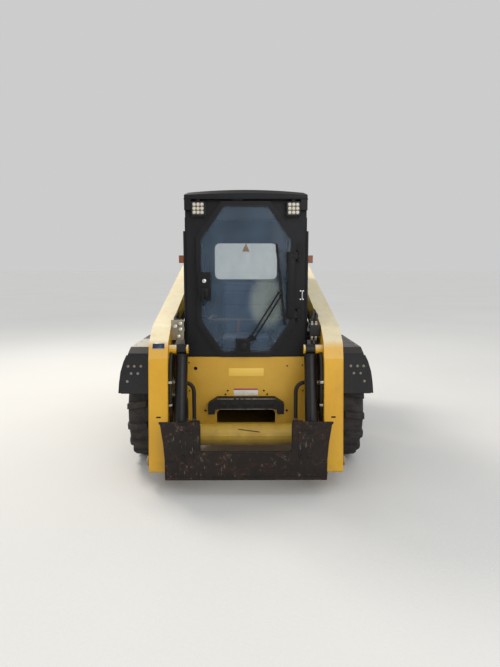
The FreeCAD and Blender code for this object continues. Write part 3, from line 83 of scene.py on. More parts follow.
class Tone:
    """A value or a colour on its way through the nodes of one finish."""

    def __init__(self, tree, socket):
        self.tree = tree
        self.socket = socket

    def node(self, kind, inputs, output=0, stops=None, **settings):
        made = self.tree.nodes.new("ShaderNode" + kind)
        for name, setting in settings.items():
            setattr(made, name, setting)
        if stops:
            ramp = made.color_ramp.elements
            while len(ramp) < len(stops):
                ramp.new(0.5)
            for element, (position, colour) in zip(ramp, stops):
                element.position = position
                element.color = colour
        for name, given in inputs.items():
            if isinstance(given, Tone):
                self.tree.links.new(given.socket, made.inputs[name])
            else:
                made.inputs[name].default_value = given
        return Tone(self.tree, made.outputs[output])

    def sum_of(self, operation, first, second):
        return self.node("Math", {0: first, 1: second}, operation=operation)

    def __add__(self, other):
        return self.sum_of("ADD", self, other)

    def __radd__(self, other):
        return self.sum_of("ADD", other, self)

    def __sub__(self, other):
        return self.sum_of("SUBTRACT", self, other)

    def __rsub__(self, other):
        return self.sum_of("SUBTRACT", other, self)

    def __mul__(self, other):
        return self.sum_of("MULTIPLY", self, other)

    def __rmul__(self, other):
        return self.sum_of("MULTIPLY", other, self)

    def between(self, low, high):
        """0 below the low value, 1 above the high one."""
        return self.node("MapRange", {0: self, 1: low, 2: high})

    def choose(self, first, second):
        """The first colour where this is 0 and the second where it is 1."""
        return self.node("Mix", {0: self, 6: first, 7: second}, output=2, data_type="RGBA")

    def stretched(self, factors):
        return self.node("VectorMath", {0: self, 1: factors}, operation="MULTIPLY")

    def along(self, axis):
        return self.node("SeparateXYZ", {0: self}, output="XYZ".index(axis))

    def cloud(self, scale, detail=4.0, rough=0.6):
        return self.node("TexNoise", {"Vector": self, "Scale": scale, "Detail": detail, "Roughness": rough})


def tint(code):
    """A colour written as six hexadecimal digits, as the shaders take it."""
    parts = [int(code[i:i + 2], 16) / 255 for i in (0, 2, 4)]
    return tuple(p / 12.92 if p <= 0.04045 else ((p + 0.055) / 1.055) ** 2.4 for p in parts) + (1.0,)


def begin(name):
    """A new finish with its shader, the place on the object and how far the surface faces up."""
    made = bpy.data.materials.new(name)
    made.use_nodes = True
    tree = made.node_tree
    shader = tree.nodes["Principled BSDF"]
    start = Tone(tree, None)
    place = start.node("TexCoord", {}, output=3)
    upward = start.node("TexCoord", {}, output=1).along("Z")
    return made, shader, place, upward


def feed(shader, **tones):
    for name, tone in tones.items():
        socket = shader.inputs[name.replace("_", " ")]
        if isinstance(tone, Tone):
            tone.tree.links.new(tone.socket, socket)
        else:
            socket.default_value = tone


def relief(height, depth, strength=1.0):
    """A bump whose full height is that many metres."""
    return height.node("Bump", {"Strength": strength, "Distance": depth, "Height": height})


def make_ground():
    made, shader, place, upward = begin("studio_floor")
    tree = made.node_tree
    worn = place.cloud(0.3).choose(tint("cfccc7"), tint("c4c1bb"))
    feed(shader, Base_Color=worn, Roughness=0.9, Normal=relief(place.cloud(60), 0.002))
    shader.inputs["Specular IOR Level"].default_value = 0.1
    mesh = bpy.data.meshes.new("floor")
    mesh.from_pydata([(-400, -400, 0), (400, -400, 0), (400, 900, 0), (-400, 900, 0)], [], [(0, 1, 2, 3)])
    mesh.materials.append(made)
    add_object("floor", mesh)
    sky = bpy.data.worlds.new("sky")
    sky.use_nodes = True
    bpy.context.scene.world = sky
    tree = sky.node_tree
    light = Tone(tree, None)
    seen = light.node("LightPath", {}, output=0)
    shiny = light.node("LightPath", {}, output=3)
    through = light.node("LightPath", {}, output=6)
    bare = (seen + shiny + through).between(0.0, 1.0)
    backdrop = tree.nodes["Background"]
    backdrop.inputs["Strength"].default_value = 1.25
    tree.links.new(bare.choose(tint("e9edf2"), tint("b8b9b8")).socket, backdrop.inputs["Color"])


make_ground()


# The lower frame is a welded plate tub painted yellow, with a bolted front panel across its nose.
# The panel has access holes, a bare plate, a small blank label and bolts beside the foot slot.
def worn_paint(name, colour, faded, dirt, under, rough=0.42, dusty=0.5, chips=0.66, coat=0.15,
               shine=0.5):
    """Sprayed paint that has faded in patches, with streaks, dust on top, grime below, scratches and chips."""
    made, shader, place, upward = begin(name)
    height = place.along("Z")
    base = place.cloud(2.2, 5.0).between(0.35, 0.7).choose(tint(colour), tint(faded))
    streak = place.stretched((22.0, 22.0, 2.2)).cloud(1.0, 5.0, 0.7).between(0.52, 0.78)
    low = (0.75 - height).between(0.0, 0.75)
    soil = place.cloud(7.0, 8.0, 0.72).between(0.42, 0.72) * low
    fine = place.cloud(160.0, 3.0, 0.7).between(0.45, 0.8)
    top = upward.between(0.35, 0.95)
    dust = (top * 0.75 + soil * 0.7 + streak * 0.25) * dusty
    base = (dust + fine * 0.12).between(0.0, 1.0).choose(base, tint(dirt))
    scratch = place.stretched((240.0, 240.0, 9.0)).cloud(1.0, 2.0, 0.5).between(0.7, 0.74)
    across = place.stretched((7.0, 7.0, 210.0)).cloud(1.0, 2.0, 0.5).between(0.71, 0.75)
    patch = place.cloud(9.0, 3.0).between(0.5, 0.68)
    marks = (scratch + across) * patch
    chip = place.cloud(38.0, 6.0, 0.75).between(chips, chips + 0.03)
    base = (marks * 0.45).choose(base, tint(faded))
    base = chip.choose(base, tint(under))
    dull = place.cloud(14.0, 4.0).between(0.3, 0.75) * 0.16 + rough
    feed(shader, Base_Color=base, Roughness=dull + dust * 0.35 + chip * 0.2, Coat_Weight=(1.0 - dust) * coat)
    shader.inputs["Coat Roughness"].default_value = 0.25
    shader.inputs["Specular IOR Level"].default_value = shine
    shape = place.cloud(900.0, 2.0) * 0.10 - chip * 0.6 - marks * 0.25 + soil * fine * 0.5
    feed(shader, Normal=relief(shape, 0.0006))
    return made


yellow = worn_paint("yellow_paint", "bf8d14", "cd9f2a", "a58c50", "4b3620", dusty=0.45, chips=0.69)


def dress(finish, *names):
    for name in names:
        for slot in nodes[name].material_slots:
            slot.material = finish


dress(yellow, "chassis_tub", "front_panel", "uprights")


def add_piece(name, shape, finish, body, smooth=35):
    """Turn a bmesh into a named piece that rides on a body."""
    mesh = bpy.data.meshes.new(name)
    bmesh.ops.recalc_face_normals(shape, faces=shape.faces)
    shape.to_mesh(mesh)
    shape.free()
    mesh.materials.append(finish)
    made = add_object(name, mesh)
    mesh.shade_smooth()
    mesh.set_sharp_from_angle(angle=math.radians(smooth))
    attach(made, body)
    return made


def lay(shape, plane, ring_count):
    """Join rings of points, each a list of vertices, into a skin."""
    rings = [[shape.verts.new(point) for point in ring] for ring in plane]
    for low, high in zip(rings, rings[1:]):
        for i in range(ring_count):
            j = (i + 1) % ring_count
            shape.faces.new((low[i], low[j], high[j], high[i]))
    return rings


def turned(shape, profile, origin, axis, count=24, close=True):
    """Turn a profile of (distance along the axis, radius) pairs about an axis through the origin."""
    spin = Vector(axis).to_track_quat("Z", "Y").to_matrix()
    rings = []
    for step, radius in profile:
        ring = []
        for i in range(count):
            angle = 2 * math.pi * i / count
            spot = Vector((radius * math.cos(angle), radius * math.sin(angle), step))
            ring.append(Vector(origin) + spin @ spot)
        rings.append(ring)
    laid = lay(shape, rings, count)
    if close:
        shape.faces.new(laid[0][::-1])
        shape.faces.new(laid[-1])


def block(shape, low, high, round_by=0.0, turn=None):
    """A block between two corners with its edges rounded over."""
    made = bmesh.new()
    bmesh.ops.create_cube(made, size=1.0)
    size = Vector(high) - Vector(low)
    middle = (Vector(high) + Vector(low)) / 2
    bmesh.ops.scale(made, vec=size, verts=made.verts)
    if round_by:
        bmesh.ops.bevel(made, geom=list(made.edges), offset=round_by, segments=2, profile=0.5, affect="EDGES")
    if turn:
        bmesh.ops.rotate(made, cent=(0, 0, 0), matrix=turn, verts=made.verts)
    bmesh.ops.translate(made, vec=middle, verts=made.verts)
    mesh = bpy.data.meshes.new("part")
    made.to_mesh(mesh)
    made.free()
    shape.from_mesh(mesh)
    bpy.data.meshes.remove(mesh)


def bolt(shape, origin, axis, radius, height):
    """A hexagonal head on its washer, with a shallow dome on top."""
    turned(shape, [(0, radius * 1.25), (height * 0.2, radius * 1.25)], origin, axis, 16)
    spot = Vector(origin) + Vector(axis) * (height * 0.2)
    turned(shape, [(0, radius), (height * 0.65, radius), (height * 0.8, radius * 0.8)], spot, axis, 6)


panel_low, panel_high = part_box("front_panel")
panel_face = panel_low.y
steel = worn_paint("bare_bolts", "6d6a64", "8b867b", "a08e70", "4a2f1d", rough=0.45, dusty=0.6, chips=0.6)
bolts = bmesh.new()
for x, z in ((-0.134, 0.601), (-0.151, 0.5735), (0.130, 0.601), (0.155, 0.5735)):
    bolt(bolts, (x, panel_face, z), (0, -1, 0), 0.0055, 0.006)
for x, z in ((0.300, 0.785), (0.412, 0.790), (-0.415, 0.60), (0.415, 0.60), (-0.415, 0.81)):
    bolt(bolts, (x, panel_face, z), (0, -1, 0), 0.0045, 0.004)
# A near-black finish: painted shade inside the holes and slots, and the dark colour of the panel bolts.
shade = worn_paint("deep_shade", "070707", "0c0b0a", "1a1612", "0a0908", rough=0.9, dusty=0.2, chips=0.95, coat=0.0)
add_piece("panel_bolts", bolts, shade, "machine")

# Dark discs set back inside the access holes are painted shade.
painted_shade_discs = bmesh.new()
for x, z, radius in ((-0.368, 0.766, 0.0155), (-0.300, 0.450, 0.0105), (0.300, 0.450, 0.0105)):
    turned(painted_shade_discs, [(0, radius), (0.0012, radius)], (x, panel_face + 0.0118, z), (0, -1, 0), 20)
add_piece("hole_painted_shade_discs", painted_shade_discs, shade, "machine")

bright = worn_paint("plate_yellow", "e2b22e", "e8c050", "bba066", "8a6a34", dusty=0.2, chips=0.74)
plate = bmesh.new()
block(plate, (-0.126, panel_face - 0.0016, 0.709), (0.129, panel_face, 0.768), 0.0007)
add_piece("blank_plate", plate, bright, "machine")


def label_finish():
    """White film with a red band across its top, scuffed and dusty."""
    made, shader, place, upward = begin("blank_label")
    band = place.along("Z").between(0.6040, 0.6050)
    base = band.choose(tint("d3cec3"), tint("96343a"))
    worn = place.cloud(40.0, 5.0).between(0.5, 0.75)
    feed(shader, Base_Color=(worn * 0.45).choose(base, tint("a3916f")), Roughness=worn * 0.3 + 0.4)
    return made


label = bmesh.new()
block(label, (-0.090, panel_face - 0.0012, 0.566), (0.087, panel_face, 0.617), 0.0005)
add_piece("blank_label", label, label_finish(), "machine")


# The entry step is a thick black tread arch, worn bright along its edges by boots.
# The recess under it is dark, as the slot for the boot's toe opens into the footwell.
step_finish = worn_paint("step_paint", "0a0a0b", "151414", "54493a", "3a3733", rough=0.5, dusty=0.3, chips=0.66, coat=0.05,
                         shine=0.3)
dress(step_finish, "entry_step")
step_low, step_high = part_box("entry_step")
tread = bmesh.new()
for i in range(20):
    x = -0.19 + i * 0.02
    lean = Matrix.Rotation(math.radians(35 if i % 2 else -35), 3, "Z")
    block(tread, (x - 0.003, step_low.y + 0.008, step_high.z - 0.0005),
          (x + 0.003, step_low.y + 0.072, step_high.z + 0.0035), 0.0012, lean)
for x in (-0.17, -0.085, 0.0, 0.085, 0.17):
    block(tread, (x - 0.026, step_low.y - 0.0025, 0.502), (x + 0.026, step_low.y + 0.001, 0.538), 0.0012)
add_piece("step_tread", tread, step_finish, "machine")
worn_edge = worn_paint("worn_edge", "5b564e", "8d877c", "8a7858", "2a2622", rough=0.38, dusty=0.3, chips=0.55)
edge = bmesh.new()
block(edge, (-0.19, step_low.y - 0.0016, 0.4815), (0.19, step_low.y + 0.003, 0.4855), 0.0008)
block(edge, (-0.208, step_low.y - 0.0016, step_high.z - 0.004), (0.208, step_low.y + 0.003, step_high.z + 0.0012), 0.0008)
add_piece("step_worn_edges", edge, worn_edge, "machine")


# The uprights are thick welded towers; each carries the arm's pivot pin with its cap and keeper bolts.
# The amber lamps stand on brackets behind them.
pins = bmesh.new()
for side in (-1, 1):
    for turn in range(3):
        angle = math.radians(90 + 120 * turn)
        spot = (side * 0.676, 1.05 + 0.034 * math.cos(angle), 1.5 + 0.034 * math.sin(angle))
        bolt(pins, spot, (side, 0, 0), 0.0065, 0.006)
add_piece("pivot_bolts", pins, steel, "machine")


def lens_finish(name, colour, deep):
    """Moulded lens with fine upright ribs over a darker reflector."""
    made, shader, place, upward = begin(name)
    ribs = place.stretched((1.0, 0.0, 1.0)).node("TexWave", {"Vector": place, "Scale": 90.0}, bands_direction="X")
    dust = place.cloud(25.0, 5.0).between(0.5, 0.8) * 0.4
    base = ribs.between(0.2, 0.8).choose(tint(deep), tint(colour))
    feed(shader, Base_Color=dust.choose(base, tint("8f7c5a")), Roughness=dust * 0.5 + 0.18,
         Normal=relief(ribs, 0.001), Coat_Weight=0.5)
    return made


dress(lens_finish("amber_lens", "a45516", "6c300a"), "rear_lamps")


# Axle housings are plain dark tubes out of the tub; each ends in a hub for its wheel.
dark = worn_paint("dark_paint", "1d1c1b", "2a2826", "77664c", "4b3020", rough=0.55, dusty=0.65)
dress(dark, "axle_housings")


# Each tyre is moulded rubber with two rows of slanted bars that wrap over its shoulders.
# The rims are pressed and welded cream steel, with eight nuts round a greased hub.
def rubber_finish():
    made, shader, place, upward = begin("tyre_rubber")
    mud = place.cloud(16.0, 9.0, 0.75).between(0.42, 0.7)
    grit = place.cloud(240.0, 3.0, 0.8).between(0.4, 0.8)
    base = place.cloud(6.0, 4.0).choose(tint("121214"), tint("1d1d1e"))
    dirt = mud * 0.42 + grit * 0.12
    base = dirt.between(0.0, 1.0).choose(base, tint("5a5146"))
    feed(shader, Base_Color=base, Roughness=mud * 0.12 + 0.78)
    shape = place.cloud(420.0, 3.0, 0.7) * 0.35 + mud * grit * 0.7
    feed(shader, Normal=relief(shape, 0.0016))
    return made


rubber = rubber_finish()
WHEELS = [("front", "left"), ("rear", "left"), ("front", "right"), ("rear", "right")]
TYRE_RADIUS = 0.419
TYRE_HALF = 0.1535
BARS = 16


def tyre_shape(middle):
    """A lathe-turned carcass with bead, sidewall ribs and shoulder, and the bars standing on it."""
    shape = bmesh.new()
    side = [(0.1115, 0.2145), (0.128, 0.222), (0.136, 0.236), (0.147, 0.262), (0.1525, 0.300), (0.1532, 0.322),
            (0.1500, 0.350), (0.1440, 0.371), (0.134, 0.385), (0.115, 0.3925), (0.060, 0.3955)]
    profile = side + [(0.0, 0.3965)] + [(-u, r) for u, r in reversed(side)]
    turned(shape, profile, middle, (1, 0, 0), 96, close=False)
    turned(shape, [(-0.1115, 0.2145), (0.1115, 0.2145)], middle, (1, 0, 0), 96, close=False)
    stations = [(0.004, 0.4150, 0.385, 0.0), (0.030, 0.4190, 0.385, 0.18), (0.080, 0.4187, 0.385, 0.52),
                (0.126, 0.4145, 0.375, 0.84), (0.148, 0.4020, 0.355, 0.97), (0.1535, 0.3760, 0.345, 1.0)]
    lean = 0.034
    width = 0.046
    for row in (-1, 1):
        for bar in range(BARS):
            turn = 2 * math.pi * (bar + (0.5 if row < 0 else 0.0)) / BARS
            rings = []
            for across, top, foot, share in stations:
                start = -lean + share * (lean * 2 - width)
                spread = 0.004 + 0.006 * (1 - share)
                ring = []
                for offset, radius in ((start - spread, foot), (start + 0.003, top), (start + width - 0.003, top),
                                       (start + width + spread, foot)):
                    angle = turn + offset / 0.405 * (1 if row > 0 else 1)
                    ring.append((middle[0] + row * across, middle[1] - radius * math.sin(angle),
                                 middle[2] + radius * math.cos(angle)))
                rings.append(ring)
            laid = lay(shape, rings, 4)
            shape.faces.new(laid[0][::-1])
            shape.faces.new(laid[-1])
    for groove in (0.262, 0.330):
        rim = [(0.1490 if groove < 0.3 else 0.1520, groove - 0.004), (0.1535, groove), (0.1490 if groove < 0.3 else 0.1520, groove + 0.004)]
        for row in (-1, 1):
            turned(shape, [(u * row, r) for u, r in rim], middle, (1, 0, 0), 96, close=False)
    return shape


cream = worn_paint("rim_cream", "b3a88c", "c0b69c", "8a775a", "5a3a22", rough=0.5, dusty=0.7, chips=0.6)


def rim_shape(middle, side):
    """Rolled rim with both flanges, the dished disc, hub, cap and nuts."""
    shape = bmesh.new()
    barrel = [(-0.1190, 0.2260), (-0.1130, 0.2270), (-0.1100, 0.2135), (-0.0900, 0.2080), (-0.0500, 0.2040),
              (-0.0300, 0.1840), (0.0300, 0.1840), (0.0500, 0.2040), (0.0900, 0.2080), (0.1100, 0.2135),
              (0.1130, 0.2270), (0.1190, 0.2260), (0.1150, 0.2080), (0.0950, 0.2000), (0.0550, 0.1960),
              (0.0340, 0.1770), (-0.0340, 0.1770), (-0.0550, 0.1960), (-0.0950, 0.2000), (-0.1150, 0.2080),
              (-0.1190, 0.2260)]
    turned(shape, barrel, middle, (1, 0, 0), 72, close=False)
    disc = [(0.012, 0.0), (0.012, 0.100), (0.018, 0.140), (0.030, 0.165), (0.030, 0.1785), (0.040, 0.1785),
            (0.042, 0.163), (0.032, 0.142), (0.030, 0.100), (0.030, 0.068), (0.036, 0.062), (0.058, 0.060),
            (0.066, 0.052), (0.068, 0.0)]
    turned(shape, [(u * side, max(r, 0.001)) for u, r in disc], middle, (1, 0, 0), 64)
    turned(shape, [(-0.118 * side, 0.060), (-0.118 * side, 0.084), (0.012 * side, 0.084), (0.012 * side, 0.070)], middle,
           (1, 0, 0), 48, close=False)
    for i in range(8):
        angle = 2 * math.pi * i / 8 + math.pi / 2
        spot = (middle[0] + side * 0.0305, middle[1] + 0.112 * math.cos(angle), middle[2] + 0.112 * math.sin(angle))
        bolt(shape, spot, (side, 0, 0), 0.0135, 0.022)
        stud = (spot[0] + side * 0.018, spot[1], spot[2])
        turned(shape, [(0, 0.007), (0.016, 0.007), (0.018, 0.005)], stud, (side, 0, 0), 12)
    return shape


for end, hand in WHEELS:
    side = -1 if hand == "left" else 1
    low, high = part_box("tyre_%s_%s" % (end, hand))
    middle = tuple((low + high) / 2)
    body = "wheel_%s_%s" % (end, hand)
    tyre = add_piece("lugged_tyre_%s_%s" % (end, hand), tyre_shape(middle), rubber, body, 40)
    edge = tyre.modifiers.new("worn_edges", "BEVEL")
    edge.width = 0.0035
    edge.segments = 2
    edge.limit_method = "ANGLE"
    edge.angle_limit = math.radians(45)
    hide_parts("tyre_%s_%s" % (end, hand))
    rim = add_piece("pressed_rim_%s_%s" % (end, hand), rim_shape(middle, side), cream, body)
    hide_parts("wheel_%s_%s" % (end, hand))


# The engine is out of sight in the tub; the bumper is a cast weight across the tail.
cast = worn_paint("cast_iron", "232221", "302e2b", "75654d", "4a2f1e", rough=0.6, dusty=0.7, chips=0.62)
dress(cast, "engine_block", "rear_bumper")


# Fenders are black bent plate; their bright metal tops are held by rows of dome bolts.
fender_paint = worn_paint("fender_black", "0b0c11", "12141b", "6f6656", "3c3a38", rough=0.34, dusty=0.22, chips=0.7, shine=0.35)
dress(fender_paint, "fenders")
domes = bmesh.new()
for side in (-1, 1):
    for x, z in ((0.745, 0.800), (0.792, 0.800), (0.836, 0.800), (0.768, 0.748), (0.816, 0.748), (0.845, 0.690)):
        turned(domes, [(0, 0.010), (0.003, 0.0095), (0.006, 0.006), (0.007, 0.001)], (side * x, -1.0775, z),
               (0, -1, 0), 16)
    for y in (-0.96, -0.78, -0.58, -0.38):
        turned(domes, [(0, 0.010), (0.003, 0.0095), (0.006, 0.006), (0.007, 0.001)], (side * 0.80, y, 0.930),
               (0, 0, 1), 16)
add_piece("fender_bolts", domes, steel, "machine")

flares = bmesh.new()
for side in (-1, 1):
    edge = [(0.670, 0.604), (0.912, 0.604), (0.905, 0.680), (0.892, 0.760), (0.868, 0.835), (0.846, 0.880), (0.670, 0.880)]
    front = [flares.verts.new((side * x, -1.0775, z)) for x, z in edge]
    back = [flares.verts.new((side * x, -1.0750, z)) for x, z in edge]
    flares.faces.new(front)
    flares.faces.new(back[::-1])
    for i in range(len(edge)):
        j = (i + 1) % len(edge)
        flares.faces.new((front[i], back[i], back[j], front[j]))
add_piece("fender_flares", flares, fender_paint, "machine")
galvanised = worn_paint("fender_top_metal", "a09d96", "bcb9b0", "b3a88c", "6d5a46", rough=0.3, dusty=0.35, chips=0.74)
tops = bmesh.new()
block(tops, (-0.824, -1.022, 0.9302), (-0.672, -0.60, 0.9330), 0.0012)
add_piece("fender_top_plate", tops, galvanised, "machine")


# The cab is a folded and welded black frame with a pressed roof pan and its visor.
# Square lamps with nine lenses sit in its top corners under small brackets.
cab_paint = worn_paint("cab_black", "09090d", "101016", "4f4a42", "2a2826", rough=0.4, dusty=0.22, chips=0.72, coat=0.05,
                       shine=0.25)
dress(cab_paint, "cab_shell", "cab_roof", "door_frame")


roof = bmesh.new()
roof.from_mesh(nodes["cab_roof"].data)
roof.transform(nodes["cab_roof"].matrix_world)
for i in range(-13, 14):
    every = roof.verts[:] + roof.edges[:] + roof.faces[:]
    bmesh.ops.bisect_plane(roof, geom=every, plane_co=(i * 0.032, 0, 0), plane_no=(1, 0, 0))
for vert in roof.verts:
    share = min(max((vert.co.z - 1.985) / 0.045, 0), 1)
    vert.co.z -= 0.022 * share * (vert.co.x / 0.43) ** 2
crowned = add_piece("crowned_roof", roof, cab_paint, "machine", 30)
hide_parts("cab_roof")


def led_finish():
    made, shader, place, upward = begin("lamp_lens")
    cells = place.node("TexVoronoi", {"Vector": place.stretched((1.0, 0.0, 1.0)), "Scale": 320.0}, output=0)
    feed(shader, Base_Color=cells.between(0.1, 0.6).choose(tint("ece4d2"), tint("b9b09c")), Roughness=0.15,
         Coat_Weight=0.8, Normal=relief(cells, 0.001))
    return made


led = led_finish()
for name in ("left", "right"):
    side = -1 if name == "left" else 1
    low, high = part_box("work_lamps")
    centre = side * 0.333
    lenses = bmesh.new()
    for i in range(3):
        for j in range(3):
            spot = (centre + (i - 1) * 0.027, low.y - 0.001, 1.903 + (j - 1) * 0.027)
            turned(lenses, [(0, 0.0125), (0.004, 0.0122), (0.0075, 0.009), (0.0085, 0.001)], spot, (0, -1, 0), 16)
    add_piece("lamp_lenses_" + name, lenses, led, "machine")
    rim = bmesh.new()
    for a, b in (((-0.050, -0.050), (0.050, -0.042)), ((-0.050, 0.042), (0.050, 0.050)),
                 ((-0.050, -0.050), (-0.042, 0.050)), ((0.042, -0.050), (0.050, 0.050))):
        block(rim, (centre + a[0], low.y - 0.006, 1.903 + a[1]), (centre + b[0], low.y + 0.004, 1.903 + b[1]), 0.002)
    block(rim, (centre - 0.012, low.y + 0.004, 1.953), (centre + 0.012, low.y + 0.03, 1.985), 0.003)
    add_piece("lamp_rim_" + name, rim, cab_paint, "machine")


def sweep(shape, route, radii, count=14):
    """A round bar, hose or bead along a route of points; radii is one radius or one for each point."""
    spots = [Vector(spot) for spot in route]
    if not isinstance(radii, (list, tuple)):
        radii = [radii] * len(spots)
    heading = (spots[1] - spots[0]).normalized()
    across = heading.orthogonal().normalized()
    rings = []
    for i, spot in enumerate(spots):
        before = spots[max(i - 1, 0)]
        after = spots[min(i + 1, len(spots) - 1)]
        turn = heading.rotation_difference((after - before).normalized())
        heading = (after - before).normalized()
        across = turn @ across
        other = heading.cross(across)
        rings.append([spot + (across * math.cos(2 * math.pi * k / count) + other * math.sin(2 * math.pi * k / count))
                      * radii[i] for k in range(count)])
    laid = lay(shape, rings, count)
    shape.faces.new(laid[0][::-1])
    shape.faces.new(laid[-1])


def bent(corners, radius, steps=8):
    """A route of straight runs whose corners are rounded."""
    spots = [Vector(corner) for corner in corners]
    route = [spots[0]]
    for before, corner, after in zip(spots, spots[1:], spots[2:]):
        into = before - corner
        out = after - corner
        reach = min(radius, into.length * 0.48, out.length * 0.48)
        start = corner + into.normalized() * reach
        end = corner + out.normalized() * reach
        for i in range(steps + 1):
            t = i / steps
            route.append(start * (1 - t) ** 2 + corner * (2 * t * (1 - t)) + end * t ** 2)
    route.append(spots[-1])
    return route


def weld(shape, start, end, radius=0.004):
    """A rippled weld bead between two points."""
    start = Vector(start)
    end = Vector(end)
    count = max(int((end - start).length / 0.004), 4)
    route = [start.lerp(end, i / count) for i in range(count + 1)]
    sweep(shape, route, [radius * (1.0 if i % 2 else 0.82) for i in range(count + 1)], 6)


beads = bmesh.new()
for side in (-1, 1):
    weld(beads, (side * 0.4295, -0.966, 0.872), (side * 0.4295, -0.966, 1.845))
    weld(beads, (side * 0.400, -0.9655, 1.962), (side * 0.235, -0.9655, 1.962))
trim = bmesh.new()
for side in (-1, 1):
    block(trim, (min(side * 0.430, side * 0.446), -0.963, 0.875), (max(side * 0.430, side * 0.446), -0.905, 1.752), 0.004)
    block(trim, (min(side * 0.430, side * 0.444), 0.250, 0.875), (max(side * 0.430, side * 0.444), 0.318, 1.940), 0.004)
    block(trim, (min(side * 0.430, side * 0.442), -0.905, 1.085), (max(side * 0.430, side * 0.442), 0.250, 1.140), 0.004)
    block(trim, (min(side * 0.430, side * 0.442), -0.860, 1.912), (max(side * 0.430, side * 0.442), 0.250, 1.950), 0.004)
    for y in (-0.93, 0.285):
        for z in (0.95, 1.25, 1.55):
            bolt(trim, (side * 0.446, y, z), (side, 0, 0), 0.007, 0.005)
add_piece("cab_side_trim", trim, cab_paint, "machine")
add_piece("cab_welds", beads, cab_paint, "machine")

drip = bmesh.new()
for side in (-1, 1):
    sweep(drip, bent([(side * 0.432, -0.985, 1.972), (side * 0.432, 0.335, 1.972)], 0.01), 0.005, 8)
sweep(drip, [(-0.425, -1.009, 1.970), (0.425, -1.009, 1.970)], 0.005, 8)
block(drip, (-0.10, -1.004, 1.958), (-0.02, -0.985, 1.966), 0.002)
add_piece("roof_drip_edge", drip, cab_paint, "machine")
dress(worn_paint("lamp_body", "4c4840", "5b574e", "8d8067", "2e2b27", rough=0.4, dusty=0.3), "work_lamps")


# Cab glass is clear with a faint green tint and a film of dust, and the door pane carries a painted reflection; rubber
# gaskets hold it.
def glass_finish(name, colour, haze, least, reflection=0.0):
    made, shader, place, upward = begin(name)
    film = place.cloud(5.0, 6.0, 0.65).between(0.35, 0.8) * haze
    wiped = place.stretched((5.0, 5.0, 0.8)).cloud(1.0, 3.0).between(0.45, 0.75) * haze
    seen = film + wiped * 0.6 + least
    base = tint(colour)
    # A soft pale patch on the door pane is a painted reflection, and the pane is less clear there.
    if reflection:
        spot = place.stretched((7.5, 0.0, 5.2))
        spread = spot.node("VectorMath", {0: spot, 1: (1.13, 0.0, 6.5)}, operation="SUBTRACT")
        patch = 1.0 - spread.node("VectorMath", {0: spread}, output=1, operation="LENGTH").between(0.72, 1.1)
        seen = seen + patch * reflection
        base = patch.choose(base, tint("98a39c"))
    feed(shader, Base_Color=base, Roughness=0.06, Alpha=seen.between(0.0, 1.0))
    shader.inputs["Specular IOR Level"].default_value = 0.6
    return made


dress(glass_finish("side_glass", "86c4b4", 0.05, 0.13), "cab_glass")
dress(glass_finish("door_pane", "6d8298", 0.10, 0.11, 0.14), "door_glass")

gasket_rubber = worn_paint("gasket_rubber", "101012", "1a1a1c", "4a463e", "222222", rough=0.7, dusty=0.3, chips=0.9)


def strip(name, corners, width, depth, normal, finish, body):
    """A flat band that follows a closed outline of points, of that width and depth."""
    shape = bmesh.new()
    count = len(corners)
    spots = [Vector(c) for c in corners]
    middle = sum(spots, Vector()) / count
    rings = []
    for i in range(count):
        inward = (middle - spots[i]).normalized() * width
        out = Vector(normal) * depth
        rings.append([spots[i], spots[i] + inward, spots[i] + inward + out, spots[i] + out])
    rows = [[shape.verts.new(p) for p in ring] for ring in rings]
    for i in range(count):
        j = (i + 1) % count
        for k in range(4):
            m = (k + 1) % 4
            shape.faces.new((rows[i][k], rows[j][k], rows[j][m], rows[i][m]))
    return add_piece(name, shape, finish, body)


def rounded(half, low, high, radius, steps=5):
    """The corners of an upright rectangle with rounded corners, seen from the front."""
    spots = []
    for cx, cz, start in ((half - radius, high - radius, 0), (radius - half, high - radius, 90),
                          (radius - half, low + radius, 180), (half - radius, low + radius, 270)):
        for i in range(steps + 1):
            angle = math.radians(start + 90 * i / steps)
            spots.append((cx + radius * math.cos(angle), cz + radius * math.sin(angle)))
    return spots


rear_pane = [(x, 0.2995, z) for x, z in rounded(0.319, 1.379, 1.746, 0.055)]
strip("rear_gasket", rear_pane, 0.022, 0.008, (0, -1, 0), gasket_rubber, "machine")
outer_pane = [(x, 0.3305, z) for x, z in rounded(0.325, 1.373, 1.752, 0.060)]
strip("rear_gasket_outer", outer_pane, 0.022, 0.006, (0, 1, 0), gasket_rubber, "machine")
for name, side in (("left", -1), ("right", 1)):
    outline = []
    for y, z in rounded(0.551, 1.164, 1.886, 0.066):
        lean = 0.040 * max(z - 1.17, 0) / 0.71 * (1 if y < 0 else 0)
        outline.append((side * 0.4305, y - 0.335 + lean, z))
    strip("side_gasket_" + name, outline, 0.020, 0.006, (side, 0, 0), gasket_rubber, "machine")
door_ring = []
for x, z in ((-0.171, 0.882), (0.171, 0.882), (0.326, 1.105), (0.326, 1.695), (0.157, 1.929), (-0.157, 1.929),
             (-0.326, 1.695), (-0.326, 1.105)):
    door_ring.append((x, -0.9885, z))
strip("door_gasket", door_ring, 0.012, 0.008, (0, -1, 0), gasket_rubber, "door")

sign_paint = worn_paint("sign_amber", "f2a408", "f4ae20", "c08a35", "8a5f1f", dusty=0.1, chips=0.9)
sign = bmesh.new()
corners = [(-0.036, 1.656), (0.036, 1.656), (0.0, 1.736)]
front = [sign.verts.new((x, 0.2985, z)) for x, z in corners]
back = [sign.verts.new((x, 0.3000, z)) for x, z in corners]
sign.faces.new(front)
sign.faces.new(back[::-1])
for i in range(3):
    j = (i + 1) % 3
    sign.faces.new((front[i], back[i], back[j], front[j]))
add_piece("blank_triangle", sign, sign_paint, "machine")


# Inside the cab: muddy steel floor, a vinyl seat on its box, armrests with levers and the lap bar.
dress(worn_paint("cab_floor", "26251f", "34322c", "7d6c4f", "55524b", rough=0.6, dusty=0.9), "cab_floor")
dress(dark, "seat_base")


